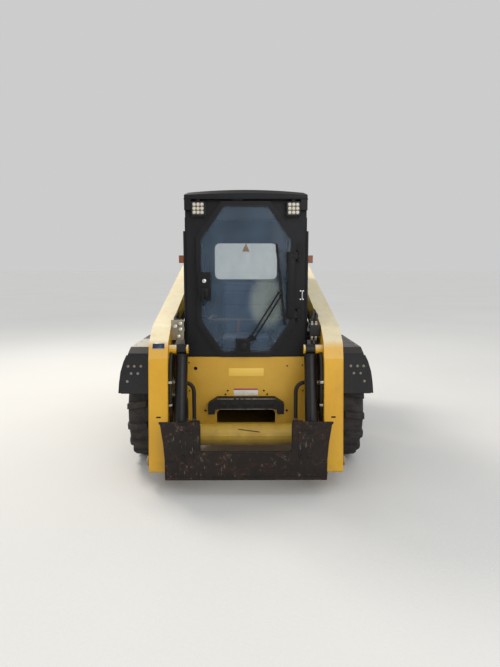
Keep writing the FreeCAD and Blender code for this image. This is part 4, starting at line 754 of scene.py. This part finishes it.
def vinyl_finish(name, colour, worn_colour, dust_colour):
    made, shader, place, upward = begin(name)
    grain = place.node("TexVoronoi", {"Vector": place, "Scale": 520.0}, output=0)
    crease = place.stretched((30.0, 30.0, 60.0)).cloud(1.0, 6.0, 0.7).between(0.55, 0.75)
    base = place.cloud(5.0, 4.0).between(0.4, 0.7).choose(tint(colour), tint(worn_colour))
    dust = upward.between(0.4, 1.0) * place.cloud(20.0, 5.0).between(0.4, 0.7) * 0.5
    feed(shader, Base_Color=dust.choose(base, tint(dust_colour)), Roughness=dust * 0.3 + crease * 0.1 + 0.5,
         Normal=relief(grain * 0.4 - crease * 0.5, 0.0012))
    return made


vinyl = vinyl_finish("seat_vinyl", "22334f", "30456a", "6d6455")


def cushion(name, low, high, channels, upright):
    """A padded block blown up as cloth, with its stitched channels."""
    shape = bmesh.new()
    bmesh.ops.create_cube(shape, size=2.0)
    bmesh.ops.subdivide_edges(shape, edges=list(shape.edges), cuts=15, use_grid_fill=True)
    half = (Vector(high) - Vector(low)) / 2 - Vector((0.009, 0.009, 0.009))
    middle = (Vector(high) + Vector(low)) / 2
    for vert in shape.verts:
        u, v, w = vert.co
        along = w if upright else v
        round_by = 1 - 0.07 * (abs(u) ** 6) * (abs(along) ** 6)
        crown = 0.009 * (1 - u ** 4) * (1 - along ** 4)
        spot = Vector((u * half.x * round_by, v * half.y, w * half.z))
        if upright:
            spot.z *= round_by
            spot.y -= crown if v < 0 else 0
        else:
            spot.y *= round_by
            spot.z += crown if w > 0 else 0
        vert.co = spot + middle
    made = add_piece(name, shape, vinyl, "machine", 180)
    remesh = made.modifiers.new("remesh", "REMESH")
    remesh.mode = "VOXEL"
    remesh.voxel_size = 0.006
    keep_shape(made, None)
    cloth = made.modifiers.new("cloth", "CLOTH")
    cloth.settings.use_pressure = True
    cloth.settings.uniform_pressure_force = 4.0
    cloth.settings.effector_weights.gravity = 0.0
    cloth.point_cache.frame_end = 20
    for moment in range(1, 21):
        bpy.context.scene.frame_set(moment)
    keep_shape(made, 0.009)
    bpy.context.scene.frame_set(1)
    facing = Vector((0, -1, 0)) if upright else Vector((0, 0, 1))
    for vert in made.data.vertices:
        front = max(vert.normal.dot(facing), 0.0)
        place = (vert.co.z if upright else vert.co.y)
        groove = sum(math.exp(-((place - line) / 0.008) ** 2) for line in channels)
        vert.co -= facing * 0.008 * front * groove
    smooth = made.modifiers.new("soft", "SUBSURF")
    smooth.levels = 1
    smooth.render_levels = 1
    for face in made.data.polygons:
        face.use_smooth = True
    return made


def keep_shape(piece, cap):
    """Bake the piece's modifiers into its mesh; where a cap is given, no point moves further than that."""
    graph = bpy.context.evaluated_depsgraph_get()
    before = [vert.co.copy() for vert in piece.data.vertices]
    baked = bpy.data.meshes.new_from_object(piece.evaluated_get(graph))
    piece.modifiers.clear()
    piece.data = baked
    if cap:
        for vert, start in zip(baked.vertices, before):
            move = vert.co - start
            if move.length > cap:
                vert.co = start + move.normalized() * cap


seat = cushion("seat_pad", (-0.225, -0.345, 0.800), (0.225, 0.090, 0.905), (-0.21, -0.05), False)
back = cushion("back_pad", (-0.225, 0.100, 0.870), (0.225, 0.196, 1.370), (1.02, 1.15, 1.28), True)
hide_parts("seat_cushions")
piping = bmesh.new()
for corners in ([(-0.216, -0.335, 0.858), (0.216, -0.335, 0.858), (0.216, 0.082, 0.858), (-0.216, 0.082, 0.858)],
                [(-0.216, 0.146, 0.882), (0.216, 0.146, 0.882), (0.216, 0.146, 1.358), (-0.216, 0.146, 1.358)]):
    start = (Vector(corners[0]) + Vector(corners[1])) / 2
    sweep(piping, bent([start] + corners[1:] + [corners[0], start], 0.030), 0.0045, 10)
add_piece("seat_piping", piping, vinyl, "machine")

plastic = worn_paint("pod_plastic", "2a2b2e", "36373a", "6f6455", "1c1c1c", rough=0.55, dusty=0.4, chips=0.9)
dress(plastic, "control_pods", "lap_bar")

grip = bmesh.new()
turned(grip, [(0, 0.012), (0.012, 0.015), (0.05, 0.0125), (0.09, 0.0145), (0.102, 0.010), (0.104, 0.001)],
       (-0.064, -0.428, 0.968), (0, 0, 1), 18)
add_piece("bar_grip", grip, worn_paint("grip_brown", "5c3524", "6d4531", "7a6552", "2c1a12", rough=0.6, dusty=0.3),
          "lap_bar")

boots = bmesh.new()
for side in (-1, 1):
    folds = []
    for i in range(9):
        folds.append((0.004 + i * 0.0085, (0.034 - i * 0.0022) * (1.0 if i % 2 else 0.82)))
    turned(boots, folds, (side * 0.258, -0.335, 0.898), (0, 0, 1), 24)
    turned(boots, [(0, 0.018), (0.015, 0.0235), (0.045, 0.0225), (0.062, 0.016), (0.066, 0.002)],
           (side * 0.258, -0.335, 1.028), (0, 0, 1), 24)
    block(boots, (side * 0.258 - 0.007, -0.362, 1.070), (side * 0.258 + 0.007, -0.354, 1.084), 0.002)
add_piece("stick_boots", boots, gasket_rubber, "machine")

switches = bmesh.new()
for side in (-1, 1):
    for i in range(4):
        y = -0.25 + i * 0.055
        z = 0.8955 - (y + 0.33) * 0.1286
        block(switches, (side * 0.258 - 0.011, y - 0.009, z - 0.004), (side * 0.258 + 0.011, y + 0.009, z + 0.006), 0.002)
block(switches, (0.236, -0.4325, 0.868), (0.262, -0.430, 0.898), 0.0006)
add_piece("pod_switches", switches, worn_paint("switch_blue", "7f9aa8", "90a9b4", "8a8270", "33383a", rough=0.4, dusty=0.2),
          "machine")

belt_web = bmesh.new()
for side in (-1, 1):
    route = [(side * 0.205, 0.10, 0.90), (side * 0.205, 0.02, 0.918), (side * 0.15, -0.06, 0.921), (side * 0.09, -0.12, 0.921)]
    for start, end in zip(route, route[1:]):
        ahead = Vector(end) - Vector(start)
        sideways = ahead.cross(Vector((0, 0, 1))).normalized() * 0.022
        corners = [Vector(start) - sideways, Vector(start) + sideways, Vector(end) + sideways, Vector(end) - sideways]
        low = [belt_web.verts.new(c) for c in corners]
        high = [belt_web.verts.new(c + Vector((0, 0, 0.0022))) for c in corners]
        belt_web.faces.new(low[::-1])
        belt_web.faces.new(high)
        for i in range(4):
            j = (i + 1) % 4
            belt_web.faces.new((low[i], low[j], high[j], high[i]))
add_piece("belt_webbing", belt_web, gasket_rubber, "machine")
lining = bmesh.new()
block(lining, (-0.395, 0.2900, 0.870), (0.395, 0.2985, 1.355), 0.004)
block(lining, (-0.398, -0.920, 1.952), (0.398, 0.290, 1.960), 0.003)
for i in range(5):
    x = -0.30 + i * 0.15
    block(lining, (x - 0.003, 0.2870, 0.90), (x + 0.003, 0.2905, 1.33), 0.001)
add_piece("cab_lining", lining, worn_paint("lining_cloth", "1f2a3a", "2b394c", "6d6455", "16181c", rough=0.85, dusty=0.3, chips=0.95, coat=0.0),
          "machine")


# The door is an eight-sided black frame round one pane, with a latch box on one side and hinges on the other.
# Its wiper has a motor box at the foot, two parallel arms and one blade.
dress(gasket_rubber, "door_fittings")


def plated(name, colour, rough):
    """Bright plated steel with fine turning marks and a film of dust."""
    made, shader, place, upward = begin(name)
    film = place.cloud(30.0, 6.0, 0.7).between(0.45, 0.8)
    fine = place.cloud(700.0, 2.0)
    feed(shader, Base_Color=(film * 0.3).choose(tint(colour), tint("8c8069")), Metallic=1.0 - film * 0.3,
         Roughness=film * 0.25 + rough, Normal=relief(fine, 0.00005))
    return made


chrome = plated("chrome_plate", "d4d3d0", 0.14)
latch_low, latch_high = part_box("door_fittings")
key = bmesh.new()
turned(key, [(0, 0.014), (0.008, 0.014), (0.010, 0.011), (0.0105, 0.001)], (-0.292, latch_low.y + 0.001, 1.402), (0, -1, 0), 24)
add_piece("latch_key", key, chrome, "door")
loop = bmesh.new()
sweep(loop, bent([(0.402, -0.964, 1.328), (0.402, -0.992, 1.328), (0.402, -0.992, 1.268), (0.402, -0.964, 1.268)], 0.012),
      0.0045, 12)
sweep(loop, [(0.388, -0.966, 1.328), (0.416, -0.966, 1.328)], 0.006, 10)
sweep(loop, [(0.388, -0.966, 1.268), (0.416, -0.966, 1.268)], 0.006, 10)
add_piece("striker_loop", loop, chrome, "machine")

door_black = worn_paint("door_black", "070709", "0f0f12", "4a453d", "2a2723", rough=0.45, dusty=0.2, chips=0.74, coat=0.05,
                        shine=0.25)
dress(door_black, "door_fittings")
lever = bmesh.new()
door_face = -1.0
block(lever, (0.292, door_face - 0.014, 1.138), (0.345, door_face - 0.0005, 1.602), 0.004)
block(lever, (-0.331, latch_low.y - 0.004, 1.285), (-0.262, latch_low.y + 0.012, 1.352), 0.006)
sweep(lever, bent([(-0.300, latch_low.y + 0.008, 1.33), (-0.300, latch_low.y - 0.022, 1.33),
                   (-0.300, latch_low.y - 0.022, 1.235), (-0.300, latch_low.y + 0.002, 1.235)], 0.015), 0.007, 12)
for height in (1.58, 1.16):
    for x in (0.305, 0.332):
        for z in (height - 0.014, height + 0.014):
            bolt(lever, (x, door_face - 0.014, z), (0, -1, 0), 0.006, 0.006)
add_piece("door_hardware", lever, door_black, "door")
wiper = bmesh.new()
for x, z in ((0.040, 1.010), (0.062, 0.992), (0.232, 1.318), (0.254, 1.304)):
    turned(wiper, [(0, 0.011), (0.012, 0.011), (0.016, 0.006), (0.017, 0.001)], (x, -1.022, z), (0, -1, 0), 16)
for t in (0.08, 0.32, 0.56, 0.80):
    x = 0.215 + 0.064 * t
    z = 1.656 - 0.570 * t
    block(wiper, (x - 0.011, -1.024, z - 0.008), (x + 0.011, -1.012, z + 0.008), 0.002)
turned(wiper, [(0, 0.030), (0.010, 0.030), (0.014, 0.022), (0.015, 0.001)], (-0.020, -1.050, 0.936), (0, -1, 0), 24)
add_piece("wiper_details", wiper, door_black, "door")


# Hood and rear door are yellow pressings with louvres; a finned radiator core shows through the grille.
# Both have black handles, and red lamps sit on the bumper's cheeks.
dress(yellow, "hood", "rear_door")
handles = bmesh.new()
block(handles, (0.330, 1.4005, 0.700), (0.385, 1.412, 0.790), 0.004)
sweep(handles, bent([(0.3575, 1.408, 0.775), (0.3575, 1.432, 0.775), (0.3575, 1.432, 0.715), (0.3575, 1.408, 0.715)], 0.01),
      0.006, 12)
add_piece("rear_door_handle", handles, door_black, "rear_door")
lid_handle = bmesh.new()
sweep(lid_handle, bent([(-0.07, 1.290, 1.148), (-0.07, 1.290, 1.186), (0.07, 1.290, 1.186), (0.07, 1.290, 1.148)], 0.02),
      0.007, 12)
add_piece("hood_handle", lid_handle, door_black, "hood")


def core_finish():
    """Fine upright fins between flat tubes, furred with dust."""
    made, shader, place, upward = begin("radiator_core")
    fins = place.node("TexWave", {"Vector": place, "Scale": 60.0}, bands_direction="X")
    tubes = place.node("TexWave", {"Vector": place, "Scale": 14.0}, bands_direction="Z")
    dust = place.cloud(9.0, 6.0, 0.7).between(0.4, 0.75)
    base = (fins * 0.5 + tubes * 0.4).choose(tint("15161a"), tint("3c3f44"))
    feed(shader, Base_Color=(dust * 0.6).choose(base, tint("6f6149")), Roughness=dust * 0.3 + 0.5,
         Normal=relief(fins * 0.5 + tubes, 0.004))
    return made


core = bmesh.new()
block(core, (-0.350, 1.1835, 0.340), (0.350, 1.1960, 1.050), 0.003)
add_piece("radiator_core", core, core_finish(), "machine")
tail = bmesh.new()
for side in (-1, 1):
    block(tail, (min(side * 0.450, side * 0.500), 1.3752, 0.575), (max(side * 0.450, side * 0.500), 1.389, 0.675), 0.004)
add_piece("tail_lenses", tail, lens_finish("red_lens", "8a1414", "4a0808"), "machine")

vents = bmesh.new()
for side in (-1, 1):
    inner = side * 0.4302
    outer = side * 0.436
    block(vents, (min(inner, outer), 0.470, 0.890), (max(inner, outer), 0.740, 1.045), 0.002)
    for i in range(7):
        z = 0.905 + i * 0.020
        block(vents, (min(inner, side * 0.443), 0.482, z), (max(inner, side * 0.443), 0.728, z + 0.008), 0.002)
    for y in (0.38, 0.80, 1.02):
        for z in (0.875, 1.055):
            bolt(vents, (side * 0.4302, y, z), (side, 0, 0), 0.007, 0.006)
add_piece("side_vents", vents, door_black, "machine")


# The lift arms are welded boxes with painted sunlight on top; a round tube ties their legs together.
# A blank dark-blue label sits on the left leg, and plugs and grease points stand on the pins.
def arm_paint_finish():
    """Yellow with pale painted sunlight on upward faces, with streaks, soil near the ground and chipped edges."""
    made, shader, place, upward = begin("arm_paint")
    height = place.along("Z")
    base = place.cloud(2.0, 5.0).between(0.35, 0.7).choose(tint("c9920a"), tint("d6a31a"))
    # Upward faces go pale cream: painted sunlight.
    painted_sunlight = upward.between(0.25, 0.8) * (place.cloud(12.0, 5.0).between(0.2, 0.6) * 0.3 + 0.6)
    base = painted_sunlight.choose(base, tint("d8cfb2"))
    soil = place.cloud(8.0, 8.0, 0.72).between(0.45, 0.72) * (0.5 - height).between(0.0, 0.5)
    streak = place.stretched((26.0, 26.0, 2.0)).cloud(1.0, 5.0, 0.7).between(0.56, 0.8) * 0.3
    base = (soil * 0.55 + streak).between(0.0, 1.0).choose(base, tint("8a6b3c"))
    marks = place.stretched((160.0, 160.0, 12.0)).cloud(1.0, 2.0).between(0.71, 0.75) * place.cloud(7.0).between(0.5, 0.65)
    chip = place.cloud(34.0, 6.0, 0.75).between(0.68, 0.70)
    base = (marks * 0.5).choose(base, tint("e0c684"))
    base = chip.choose(base, tint("5b4028"))
    feed(shader, Base_Color=base, Roughness=painted_sunlight * 0.3 + soil * 0.3 + 0.4, Coat_Weight=(1.0 - painted_sunlight) * 0.15)
    feed(shader, Normal=relief(place.cloud(900.0, 2.0) * 0.1 - chip * 0.6 - marks * 0.25, 0.0006))
    return made


def tube_paint_finish():
    """The arms' yellow with random soil, painted shade darkening its underside, and one long dark scrape across its
    front.
    """
    made, shader, place, upward = begin("tube_paint")
    base = place.cloud(6.0, 6.0).between(0.35, 0.7).choose(tint("b08a20"), tint("be9a38"))
    # Downward faces are darkened: painted shade, mixed below with the random soil.
    underside_shade = (0.0 - upward).between(-0.1, 0.9)
    soil = place.cloud(10.0, 8.0, 0.72).between(0.35, 0.7)
    base = (soil * 0.35 + underside_shade * 0.5).between(0.0, 1.0).choose(base, tint("6d573a"))
    across = place.along("X")
    slope = place.along("Z") + across * 0.11
    inside = across.between(-0.065, -0.045) * (1.0 - across.between(0.085, 0.105))
    band = slope.between(0.3560, 0.3585) * (1.0 - slope.between(0.3625, 0.3650))
    ragged = place.cloud(70.0, 6.0, 0.75).between(0.36, 0.46)
    base = (inside * band * ragged).choose(base, tint("1d1610"))
    chip = place.cloud(40.0, 6.0, 0.75).between(0.66, 0.69)
    base = chip.choose(base, tint("4f3822"))
    feed(shader, Base_Color=base, Roughness=soil * 0.2 + 0.42, Normal=relief(place.cloud(300.0, 3.0) * 0.2 - chip * 0.6, 0.0008))
    return made


arm_paint = arm_paint_finish()
dress(arm_paint, "lift_arm_left", "lift_arm_right")
dress(tube_paint_finish(), "torque_tube")


def decal_finish():
    made, shader, place, upward = begin("blank_decal")
    worn = place.cloud(60.0, 5.0).between(0.5, 0.75)
    height = place.along("Z")
    border = (height.between(0.9795, 0.9805) + 1.0 - height.between(0.9490, 0.9500)).between(0.0, 1.0)
    base = border.choose(tint("1c2746"), tint("a9a693"))
    feed(shader, Base_Color=(worn * 0.3).choose(base, tint("7f8496")), Roughness=worn * 0.3 + 0.35)
    return made


def surface_of(name):
    """The built surface of a sub-part, to find where a ray meets it."""
    shape = bmesh.new()
    shape.from_mesh(nodes[name].data)
    shape.transform(nodes[name].matrix_world)
    tree = BVHTree.FromBMesh(shape)
    shape.free()
    return tree


left_leg = surface_of("lift_arm_left")
decal = bmesh.new()
rows = []
for i in range(7):
    z = 0.944 + i * 0.0068
    row = []
    for x in (-0.634, -0.554):
        spot = left_leg.ray_cast(Vector((x, -2.0, z)), Vector((0, 1, 0)))[0]
        row.append(decal.verts.new(spot + Vector((0, -0.0012, 0.0004))))
    rows.append(row)
for low, high in zip(rows, rows[1:]):
    decal.faces.new((low[0], low[1], high[1], high[0]))
made = add_piece("blank_decal", decal, decal_finish(), "arms", 60)
made.modifiers.new("film", "SOLIDIFY").thickness = 0.0009

# Thin dark blocks on the legs' fronts are painted shade for the slots there.
slots = bmesh.new()
for side in (-1, 1):
    block(slots, (side * 0.593 - 0.015, -1.2822, 0.482), (side * 0.593 + 0.015, -1.2790, 0.492), 0.001)
add_piece("leg_slot_shade", slots, shade, "arms")

arm_marks = bmesh.new()
for side in (-1, 1):
    turned(arm_marks, [(0, 0.034), (0.008, 0.034), (0.011, 0.028), (0.012, 0.001)], (side * 0.671, -1.25, 0.17), (side, 0, 0), 24)
    for angle in (90, 210, 330):
        y = -1.25 + 0.019 * math.cos(math.radians(angle))
        z = 0.17 + 0.019 * math.sin(math.radians(angle))
        bolt(arm_marks, (side * 0.682, y, z), (side, 0, 0), 0.0055, 0.005)
    turned(arm_marks, [(0, 0.006), (0.006, 0.006), (0.010, 0.0035), (0.013, 0.0035), (0.014, 0.001)],
           (side * 0.661, -1.13, 0.93), (side, 0, 0), 10)
add_piece("arm_pin_details", arm_marks, steel, "arms")
seams = bmesh.new()
for side in (-1, 1):
    for x in (0.533, 0.657):
        weld(seams, (side * x, -1.2405, 0.860), (side * x, -1.3095, 0.200), 0.0032)
    for x in (0.530, 0.6605):
        weld(seams, (side * x, 0.46, 1.275), (side * x, 0.64, 1.315), 0.005)
add_piece("arm_welds", seams, arm_paint, "arms")


# Steel tubes and rubber hoses run along the arms' inner faces to the cylinders.
# The front hoses bend down to fittings on the torque tube, and quick couplers stand beside the left leg.
hose_rubber = worn_paint("hose_rubber", "101011", "1b1a1a", "5f5442", "2a2622", rough=0.6, dusty=0.35, chips=0.9, coat=0.0)
fitting_steel = plated("fitting_steel", "b9b5aa", 0.28)
bends = bmesh.new()
collars = bmesh.new()
for side, drop, level in ((-1, 0.368, 0.690), (-1, 0.424, 0.600), (1, 0.352, 0.690)):
    sweep(bends, bent([(side * 0.5290, -1.112, level), (side * drop, -1.112, level), (side * drop, -1.112, 0.392)], 0.075, 12),
          0.0140, 18)
    turned(collars, [(0, 0.0185), (0.010, 0.0185), (0.012, 0.0165), (0.036, 0.0165), (0.041, 0.0150)],
           (side * 0.5297, -1.112, level), (-side, 0, 0), 18)
    turned(collars, [(0, 0.0190), (0.014, 0.0190), (0.015, 0.0168), (0.038, 0.0165), (0.043, 0.0150)],
           (side * drop, -1.112, 0.3894), (0, 0, 1), 6)
front_hoses = add_piece("front_hoses", bends, hose_rubber, "arms", 60)
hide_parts("arm_hoses")
add_piece("hose_collars", collars, fitting_steel, "arms")

lines = bmesh.new()
clips = bmesh.new()
for side in (-1, 1):
    for shift in (0.0, 0.030):
        corners = [(side * 0.519, 0.62, 1.318 + shift), (side * 0.519, -0.90, 0.978 + shift),
                   (side * 0.519, -1.045, 0.930 + shift), (side * (0.500 - shift * 0.3), -1.085, 0.900 + shift)]
        sweep(lines, bent(corners, 0.05), 0.0075, 12)
    for y in (0.40, -0.10, -0.60):
        z = 1.318 + (y - 0.62) * 0.2237
        block(clips, (min(side * 0.5100, side * 0.5298), y - 0.012, z - 0.012), (max(side * 0.5100, side * 0.5298), y + 0.012, z + 0.045),
              0.003)
add_piece("arm_tubes", lines, hose_rubber, "arms")
add_piece("arm_tube_clips", clips, fitting_steel, "arms")

bank = bmesh.new()
block(bank, (-0.5297, -1.058, 0.985), (-0.440, -1.044, 1.128), 0.003)
block(bank, (-0.5297, -1.050, 0.995), (-0.518, -1.010, 1.118), 0.003)
add_piece("coupling_bracket", bank, worn_paint("bracket_beige", "857b62", "968b70", "7a6f58", "5b4a34", rough=0.5, dusty=0.4),
          "arms")
couplings = bmesh.new()
for x, z in ((-0.456, 1.108), (-0.456, 1.068), (-0.492, 1.088), (-0.470, 1.018)):
    turned(couplings, [(0, 0.0125), (0.018, 0.0125), (0.020, 0.0105), (0.030, 0.0105), (0.031, 0.0135), (0.052, 0.0135),
                       (0.055, 0.010), (0.056, 0.001)], (x, -1.056, z), (0, -1, 0), 18)
add_piece("quick_couplings", couplings, chrome, "arms")

feeds = bmesh.new()
for x, z in ((-0.456, 1.108), (-0.456, 1.068), (-0.492, 1.088)):
    sweep(feeds, bent([(x, -1.046, z), (x, -1.000, z), (-0.516, -0.985, z + 0.02), (-0.516, -0.80, z + 0.052)], 0.03), 0.0085, 12)
block(feeds, (0.452, -1.062, 1.010), (0.5297, -1.030, 1.092), 0.005)
for x in (0.468, 0.496):
    sweep(feeds, bent([(x, -1.046, 1.085), (x, -1.046, 1.130), (x + 0.018, -0.980, 1.150), (0.517, -0.78, 1.175)], 0.035), 0.0100, 12)
    sweep(feeds, bent([(x, -1.046, 1.016), (x, -1.046, 0.985), (x + 0.012, -1.050, 0.890), (0.517, -1.060, 0.780),
                       (0.517, -1.085, 0.560)], 0.04), 0.0100, 12)
for side in (-1, 1):
    drop = [(-1.150, 0.905), (-1.212, 0.845), (-1.236, 0.640), (-1.226, 0.455), (-1.150, 0.376)]
    sweep(feeds, bent([(side * 0.5165, y, z) for y, z in drop], 0.06), 0.0115, 14)
add_piece("arm_feed_hoses", feeds, hose_rubber, "arms")
ends = bmesh.new()
for side in (-1, 1):
    for y, z in ((-1.2375, 0.720), (-1.2375, 0.560)):
        block(ends, (min(side * 0.5030, side * 0.5298), y - 0.013, z - 0.009),
              (max(side * 0.5030, side * 0.5298), y + 0.016, z + 0.009), 0.003)
for x in (0.468, 0.496):
    turned(ends, [(0, 0.013), (0.012, 0.013), (0.014, 0.011), (0.028, 0.011)], (x, -1.046, 1.090), (0, 0, 1), 6)
    turned(ends, [(0, 0.013), (0.012, 0.013), (0.014, 0.011), (0.028, 0.011)], (x, -1.046, 1.012), (0, 0, -1), 6)
add_piece("feed_hose_ends", ends, fitting_steel, "arms")


# Cylinders are black painted tubes with chromed rods, welded eyes and screwed glands.
# Each has a port at both ends with a steel pipe along the tube.
barrel_paint = worn_paint("cylinder_black", "070709", "0e0e11", "3f382e", "2a2018", rough=0.33, dusty=0.22, chips=0.7, coat=0.1,
                          shine=0.35)
CYLINDERS = [
    # kind, distance from the middle, base pin, rod pin, tube and rod radius, spare stroke, half width of the rod's eye
    ("lift", 0.586, (1.150, 0.640), (0.550, 1.150), 0.050, 0.028, 0.006, 0.030),
    ("tilt", 0.447, (-1.130, 0.930), (-1.298, 0.302), 0.043, 0.024, 0.048, 0.048),
]


def cylinder_looks(kind, hand, x, base, tip, tube, rod, spare, eye_half):
    start = Vector((x, base[0], base[1]))
    end = Vector((x, tip[0], tip[1]))
    length = (end - start).length
    axis = (end - start).normalized()
    head = length - spare - 0.048
    skin = bmesh.new()
    for at, half in ((start, 0.030),):
        turned(skin, [(0, 0.0195), (0, 0.033), (0.003, 0.036), (half * 2 - 0.003, 0.036), (half * 2, 0.033), (half * 2, 0.0195)],
               at - Vector((half, 0, 0)), (1, 0, 0), 40, close=False)
    profile = [(0.028, 0.024), (0.038, tube * 0.96), (0.044, tube), (head - 0.042, tube), (head - 0.0415, tube + 0.004),
               (head - 0.040, tube + 0.005), (head - 0.022, tube + 0.005), (head - 0.021, tube + 0.003),
               (head - 0.006, tube + 0.003), (head, tube - 0.004), (head, rod + 0.0008)]
    turned(skin, profile, start, axis, 48, close=False)
    turned(skin, [(0.042, tube), (0.045, tube + 0.0025), (0.050, tube + 0.0025), (0.053, tube)], start, axis, 48, close=False)
    rear = -1 if kind == "tilt" else 1
    out = Vector((0, -axis.z, axis.y)) * (1 if kind == "tilt" else -1)
    if out.y < 0:
        out = -out
    low = start + axis * 0.075 + out * tube
    high = start + axis * (head - 0.060) + out * tube
    sweep(skin, bent([low - out * 0.01, low + out * 0.020, high + out * 0.020 - axis * 0.03, high - out * 0.01], 0.02), 0.006, 10)
    for spot in (low, high):
        turned(skin, [(-0.004, 0.014), (0.010, 0.014), (0.012, 0.011)], spot, out, 12)
    body = "%s_barrel_%s" % (kind, hand)
    made = add_piece("%s_tube_%s" % (kind, hand), skin, barrel_paint, body)
    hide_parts(body)
    bar = bmesh.new()
    turned(bar, [(0.052 + spare, 0.001), (0.052 + spare, rod), (length - 0.030, rod)], start, axis, 48, close=False)
    turned(bar, [(length - 0.042, rod), (length - 0.036, rod + 0.004), (length - 0.028, rod + 0.004)], start, axis, 32, close=False)
    turned(bar, [(0, 0.001), (0, 0.033), (0.003, 0.036), (eye_half * 2 - 0.003, 0.036), (eye_half * 2, 0.033), (eye_half * 2, 0.001)],
           end - Vector((eye_half, 0, 0)), (1, 0, 0), 40, close=False)
    body = "%s_rod_%s" % (kind, hand)
    made = add_piece("%s_shaft_%s" % (kind, hand), bar, chrome, body)
    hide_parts(body)


for hand, side in (("left", -1), ("right", 1)):
    for kind, x, base, tip, tube, rod, spare, eye_half in CYLINDERS:
        cylinder_looks(kind, hand, side * x, base, tip, tube, rod, spare, eye_half)


# The quick coupler is a heavy plate with two towers, its dark paint worn to rust and bare steel.
def grimy_steel():
    made, shader, place, upward = begin("coupler_grime")
    broad = place.cloud(5.0, 8.0, 0.75)
    spots = place.cloud(45.0, 6.0, 0.75).between(0.56, 0.66)
    paint = broad.between(0.35, 0.6).choose(tint("110c09"), tint("20160f"))
    rust = place.cloud(17.0, 8.0, 0.78).between(0.52, 0.62)
    base = (rust * 0.5).choose(paint, tint("4a2c1a"))
    base = (spots * rust).choose(base, tint("86817a"))
    rubbed = place.stretched((60.0, 60.0, 14.0)).cloud(1.0, 4.0, 0.7).between(0.60, 0.66)
    rubbed = rubbed * place.cloud(6.0, 3.0).between(0.48, 0.6)
    base = (rubbed * 0.5).choose(base, tint("7d7468"))
    grit = place.cloud(260.0, 3.0, 0.8)
    feed(shader, Base_Color=base, Roughness=rust * 0.25 + 0.5 - spots * 0.1, Metallic=spots * rust * 0.8,
         Normal=relief(grit * 0.4 + rust * 0.8 - spots * 0.4, 0.0012))
    shader.inputs["Specular IOR Level"].default_value = 0.3
    return made


grime = grimy_steel()
dress(grime, "coupler", "coupler_latches")
coupler_low, coupler_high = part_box("coupler")
face = coupler_low.y
wear = bmesh.new()
for side in (-1, 1):
    for x0, x1, z0, z1 in ((0.345, 0.425, 0.255, 0.440), (0.452, 0.520, 0.150, 0.235)):
        block(wear, (min(side * x0, side * x1), face - 0.004, z0), (max(side * x0, side * x1), face + 0.001, z1), 0.0018)
    for x, z in ((0.360, 0.270), (0.410, 0.270), (0.360, 0.425), (0.410, 0.425)):
        bolt(wear, (side * x, face - 0.004, z), (0, -1, 0), 0.008, 0.006)
    block(wear, (min(side * 0.300, side * 0.566), face - 0.003, 0.484), (max(side * 0.300, side * 0.566), face + 0.016, 0.500), 0.005)
    weld(wear, (side * 0.299, face - 0.0005, 0.304), (side * 0.299, face - 0.0005, 0.480), 0.004)
block(wear, (-0.530, face - 0.004, 0.108), (0.530, face + 0.002, 0.128), 0.003)
block(wear, (-0.300, face - 0.002, 0.288), (0.300, face + 0.010, 0.302), 0.004)
for i in range(7):
    weld(wear, (-0.50 + i * 0.15, face - 0.0015, 0.1285), (-0.40 + i * 0.15, face - 0.0015, 0.1285), 0.0035)
add_piece("coupler_wear_plates", wear, grime, "coupler")
